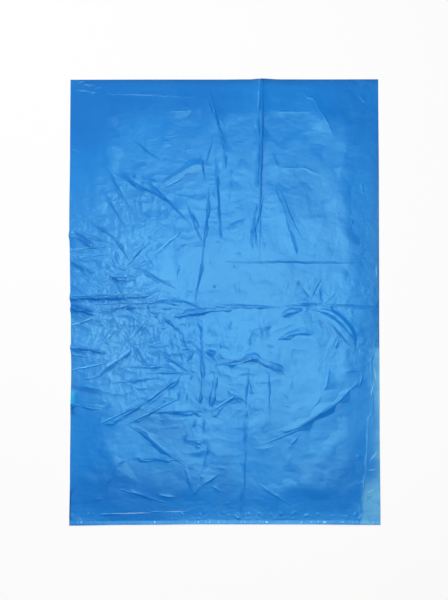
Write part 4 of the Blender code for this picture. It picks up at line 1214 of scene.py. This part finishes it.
# %% Fans of creases round the pinched knots
# (place in percent, how far the fan reaches in mm, how many creases round it, how steep they are)
KNOTS = [
    ((18.5, 58.2), 66, 15, 0.17), ((-1, 60.5), 66, 24, 0.17), ((12, 54), 42, 12, 0.17),
    ((24.5, 48.3), 50, 13, 0.13), ((20, 41), 80, 16, 0.13), ((9.5, 46.5), 44, 12, 0.13),
    ((42.5, 39.4), 54, 13, 0.13), ((43, 25), 42, 12, 0.09), ((57.6, 27.5), 50, 12, 0.08),
    ((60.3, 73), 54, 9, 0.06), ((79, 52), 36, 11, 0.08), ((92, 39), 38, 10, 0.06),
]
FAN_BEND = 0.014
FAN_CHANGE_LENGTH = 0.035
bent_place = shifted(0.028, FAN_BEND)
fan_heights = []
for seed, ((across, along), reach, how_many, steepness) in enumerate(KNOTS):
    knot_x, knot_y = straight_place(across, along)
    from_knot = add_node(tree, "ShaderNodeVectorMath", {0: bent_place}, operation="SUBTRACT")
    from_knot.inputs[1].default_value = (knot_x + FAN_BEND / 2, knot_y + FAN_BEND / 2, 0.0)
    flat = add_node(tree, "ShaderNodeVectorMath", {0: from_knot.outputs[0]}, operation="MULTIPLY")
    flat.inputs[1].default_value = (1.0, 1.0, 0.0)
    away = add_node(tree, "ShaderNodeVectorMath", {0: flat.outputs[0]}, operation="LENGTH").outputs["Value"]
    bearing = add_node(tree, "ShaderNodeVectorMath", {0: flat.outputs[0]}, operation="NORMALIZE")
    ring = add_node(tree, "ShaderNodeVectorMath", {0: bearing.outputs[0]}, operation="SCALE")
    ring.inputs["Scale"].default_value = how_many / (2 * math.pi)
    outwards = number("ADD", number("MULTIPLY", away, 1 / FAN_CHANGE_LENGTH), 7.3 * seed)
    lift = add_node(tree, "ShaderNodeCombineXYZ", {"Z": outwards})
    on_ring = add_node(
        tree, "ShaderNodeVectorMath", {0: ring.outputs[0], 1: lift.outputs[0]}, operation="ADD"
    )
    fading = number("MAXIMUM", number("SUBTRACT", 1.0, number("MULTIPLY", away, 1 / (reach * MM))), 0.0)
    folds = folded_noise(on_ring.outputs[0], 1.0, 1.0)
    fold_height = number("MULTIPLY", folds, number("MULTIPLY", away, steepness))
    fan_heights.append(number("MULTIPLY", fold_height, fading))
fans = fan_heights[0]
for fan_height in fan_heights[1:]:
    fans = number("ADD", fans, fan_height)
patches = add_node(
    tree, "ShaderNodeTexNoise", {"Vector": place.outputs["Object"]}, Scale=1 / 0.045, Detail=1.0
)
patchy = add_node(
    tree, "ShaderNodeMapRange", {"Value": patches.outputs["Fac"]}, From_Min=0.4, From_Max=0.6, To_Min=0.1
)
fans = number("MULTIPLY", fans, patchy.outputs["Result"])
print("fans:", len(KNOTS))

# %% [markdown]
# The sharpest creases are thinner than the mesh's points lie apart, so the mesh alone would soften them.
# The material adds a low tent along each, highest in its middle, with one side in the light and one away
# from it. A little noise bends it, because no crease in film is quite straight.

# %% Crisp creases
# (place in percent, half its length in mm, turn in degrees, height in mm, or depth where it is negative)
CRISP_HALF_WIDTH = 1.9
CRISP_BEND = 0.005
CRISP_CREASES = [
    ((24.4, 75.4), 62, -27, 0.9), ((34, 76.8), 38, 28, 0.6), ((31.7, 72.6), 60, -45, 0.8),
    ((40.4, 67.7), 36, -68, 0.7), ((21.9, 61), 36, 47, 1.0), ((31.3, 63), 36, 40, 0.7),
    ((44, 67.8), 62, 85, 0.9), ((41.9, 55.6), 44, 80, 0.9), ((48, 73.7), 70, 94, 0.8),
    ((47.7, 90.7), 58, -74, 0.7), ((10.8, 66.2), 32, -35, 0.9), ((16.7, 62), 30, -58, 0.9),
    ((7.5, 62.2), 42, 6, 0.9), ((7.3, 60.4), 32, 7, 0.8), ((3.5, 57.5), 30, -45, 0.8),
    ((27.5, 55.7), 44, -29, 0.8), ((8.8, 64.4), 36, -22, 0.8), ((15.9, 75.4), 42, -62, 0.7),
    ((14.7, 70.5), 44, -59, 0.7), ((17.2, 25.1), 48, 24, 1.0), ((30.2, 30.5), 48, 38, 1.0),
    ((27.8, 25.8), 56, 27, 0.8), ((28.3, 17.8), 62, -37, 0.9), ((28, 14.8), 50, -2, 0.6),
    ((23.5, 6.6), 46, -16, 0.7), ((34, 25.4), 48, 2, 0.8), ((42.6, 37.4), 74, 90, 0.45),
    ((22.1, 38.7), 30, -52, 0.9), ((22.1, 43.8), 28, 50, 0.9), ((33.4, 44.7), 26, -42, 0.9),
    ((20.7, 32.5), 42, 6, 0.7), ((24.5, 35.5), 38, -1, 0.7), ((33.7, 36.5), 36, -33, 0.8),
    ((32.6, 34.1), 36, 0, 0.7), ((4.1, 45.6), 28, 21, 0.8), ((11.6, 42.5), 20, 67, 0.7),
    ((45.3, 10.1), 22, 37, 0.7), ((49.9, 27.3), 26, 36, 0.8), ((54.7, 28.3), 16, -23, 0.7),
    ((57.3, 30.7), 34, 86, 0.6), ((53.1, 36.7), 36, 11, 0.5), ((64.1, 35.5), 40, -27, 0.35),
    ((66.3, 6.8), 38, -34, 0.5), ((64.4, 31), 26, 90, 0.5), ((56.6, 12), 110, 88, 0.3),
    ((61.8, 80), 160, 89, 0.6), ((73, 59), 120, 0, -0.5), ((10, 51.6), 70, 1, 0.9),
    ((20, 49.6), 70, 2, -0.9), ((58, 49.2), 60, -3, 0.5), ((77, 49.5), 46, 3, 0.4),
    ((90, 49.2), 60, -2, 0.4), ((19, 49.3), 30, 14, 0.9), ((38, 49.8), 26, -20, 0.8),
    ((30, 50.4), 30, 10, 0.8), ((45, 84), 30, 76, 0.7), ((43, 80), 24, 100, 0.7), ((79.4, 53), 20, 62, 0.4),
    ((76, 52), 18, -52, 0.4), ((84, 50.8), 14, 44, 0.35), ((61, 69), 40, 76, 0.8), ((60, 66), 30, 96, 0.8),
    ((71, 70), 50, -66, 0.5), ((69, 20), 40, 20, 0.5), ((87, 43), 34, -48, 0.5), ((25, 84), 30, -38, 0.6),
    ((30, 87), 26, 10, 0.5), ((3, 38), 26, -8, 0.9), ((6, 35.5), 34, 12, 0.8), ((2.5, 53), 26, -38, 0.9),
    ((16, 53), 24, -60, 0.9),
]
gently_bent = shifted(0.03, CRISP_BEND)
fine_heights = number("ADD", fans, crossing_height)
for (across, along), half_length, turn, height in CRISP_CREASES:
    spot = add_node(tree, "ShaderNodeMapping", {"Vector": gently_bent}, vector_type="TEXTURE")
    crease_x, crease_y = straight_place(across, along)
    spot.inputs["Location"].default_value = (crease_x + CRISP_BEND / 2, crease_y + CRISP_BEND / 2, 0.0)
    spot.inputs["Rotation"].default_value = (0.0, 0.0, math.radians(turn))
    spot.inputs["Scale"].default_value = (half_length * MM, CRISP_HALF_WIDTH * MM, 1.0)
    tent = add_node(tree, "ShaderNodeTexGradient", {"Vector": spot.outputs[0]}, gradient_type="SPHERICAL")
    fine_heights = number("SUBTRACT", fine_heights, number("MULTIPLY", tent.outputs["Fac"], height * MM))
sides = {"Height": fine_heights, "Normal": relief_normal.outputs[0]}
fine_creases = add_node(tree, "ShaderNodeBump", sides, Strength=1.0, Distance=1.0, invert=True)
tree.links.new(fine_creases.outputs[0], shader.inputs["Normal"])
film.data.materials.append(film_blue)
print("crisp creases:", len(CRISP_CREASES), "nodes in the film's material:", len(tree.nodes))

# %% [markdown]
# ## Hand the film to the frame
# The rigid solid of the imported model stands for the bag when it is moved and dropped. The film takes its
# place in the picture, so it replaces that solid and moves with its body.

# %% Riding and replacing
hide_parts("film_bag")
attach(film, "root")
print("flat sheet, m:", 2 * BAG_WIDTH, "by", BAG_LENGTH)

# %% [markdown]
# ## The studio
# The bag lies on a white floor under a camera that looks straight down. A small softbox overhead gives the
# broad shine in the middle of the film, which fades towards its corners. A far one at the upper left gives
# every crease a light side and a dark side, and a nearer one on that side fills the shade. The floor and
# the room look white to the camera by their own glow, so the lamps stay at a plain level.

# %% Floor
bpy.ops.object.select_all(action="DESELECT")
bpy.ops.mesh.primitive_plane_add(size=6, location=(0, 0, -0.2 * MM))
floor = bpy.context.active_object
floor.name = "floor"
floor_paint = bpy.data.materials.new("matt_white_paper")
floor_paint.use_nodes = True
tree = floor_paint.node_tree
tree.nodes.clear()
output = add_node(tree, "ShaderNodeOutputMaterial")
matt = add_node(tree, "ShaderNodeBsdfDiffuse", Color=(0.92, 0.92, 0.92, 1.0))
glow = add_node(tree, "ShaderNodeEmission", Color=(1.0, 1.0, 1.0, 1.0), Strength=1.0)
rays = add_node(tree, "ShaderNodeLightPath")
eye_or_gloss = {0: rays.outputs["Is Camera Ray"], 1: rays.outputs["Is Glossy Ray"]}
seen = add_node(tree, "ShaderNodeMath", eye_or_gloss, operation="ADD")
seen = add_node(
    tree, "ShaderNodeMath", {0: seen.outputs[0], 1: rays.outputs["Is Transmission Ray"]}, operation="ADD"
)
GLOW_SHARE = 0.75
share = add_node(tree, "ShaderNodeMath", {0: seen.outputs[0]}, operation="MULTIPLY")
share.inputs[1].default_value = GLOW_SHARE
both = add_node(tree, "ShaderNodeMixShader", {0: share.outputs[0], 1: matt.outputs[0], 2: glow.outputs[0]})
tree.links.new(both.outputs[0], output.inputs["Surface"])
floor.data.materials.append(floor_paint)
print("floor:", floor_paint.name)

# %% World and lamps
world = bpy.data.worlds.new("studio")
bpy.context.scene.world = world
world.use_nodes = True
tree = world.node_tree
tree.nodes.clear()
output = add_node(tree, "ShaderNodeOutputWorld")
rays = add_node(tree, "ShaderNodeLightPath")
room = add_node(tree, "ShaderNodeBackground", Color=(1.0, 1.0, 1.0, 1.0), Strength=0.25)
paper = add_node(tree, "ShaderNodeBackground", Color=(1.0, 1.0, 1.0, 1.0), Strength=1.0)
both = add_node(
    tree, "ShaderNodeMixShader", {0: rays.outputs["Is Camera Ray"], 1: room.outputs[0], 2: paper.outputs[0]}
)
tree.links.new(both.outputs[0], output.inputs["Surface"])


def softbox(name, place, target, size, power):
    """A square area lamp that faces its target."""
    lamp = bpy.data.lights.new(name, "AREA")
    lamp.size = size
    lamp.energy = power
    stand = bpy.data.objects.new(name, lamp)
    bpy.context.scene.collection.objects.link(stand)
    stand.location = place
    stand.rotation_euler = (Vector(target) - Vector(place)).to_track_quat("-Z", "Y").to_euler()


softbox("overhead_softbox", (0.04, -0.02, 1.6), (0.04, 0.0, 0.0), 0.55, 8.7)
softbox("key_softbox", (-2.3, 2.5, 5.0), (0.0, 0.0, 0.0), 1.5, 112)
softbox("upper_left_softbox", (-1.35, 1.6, 1.8), (0.0, 0.0, 0.0), 0.7, 21)
print("lamps:", len(bpy.data.lights))

# %% [markdown]
# The photograph shows no perspective that could be measured, because the bag is flat and seen square on.
# The camera stands 5 m up with a long lens, so that light falls on the whole bag from nearly the same side
# as the eye sees it.

# %% Camera
# In the photograph's frame of 448 by 600 pixels the bag's middle is at this pixel, and it is this wide
IMAGE_SIZE = (448, 600)
BAG_MIDDLE_PIXEL = (224.6, 302.3)
BAG_WIDTH_PIXELS = 309.4
CAMERA_HEIGHT = 5.0
SENSOR_HEIGHT = 24.0

metres_per_pixel = BAG_WIDTH / BAG_WIDTH_PIXELS
camera_data = bpy.data.cameras.new("camera")
camera_data.sensor_fit = "VERTICAL"
camera_data.sensor_height = SENSOR_HEIGHT
camera_data.lens = SENSOR_HEIGHT * CAMERA_HEIGHT / (IMAGE_SIZE[1] * metres_per_pixel)
camera = bpy.data.objects.new("camera", camera_data)
bpy.context.scene.collection.objects.link(camera)
camera.location = (
    (IMAGE_SIZE[0] / 2 - BAG_MIDDLE_PIXEL[0]) * metres_per_pixel,
    (BAG_MIDDLE_PIXEL[1] - IMAGE_SIZE[1] / 2) * metres_per_pixel,
    CAMERA_HEIGHT,
)
bpy.context.scene.camera = camera
bpy.context.scene.view_settings.view_transform = "Standard"
print("lens, mm:", round(camera_data.lens, 1))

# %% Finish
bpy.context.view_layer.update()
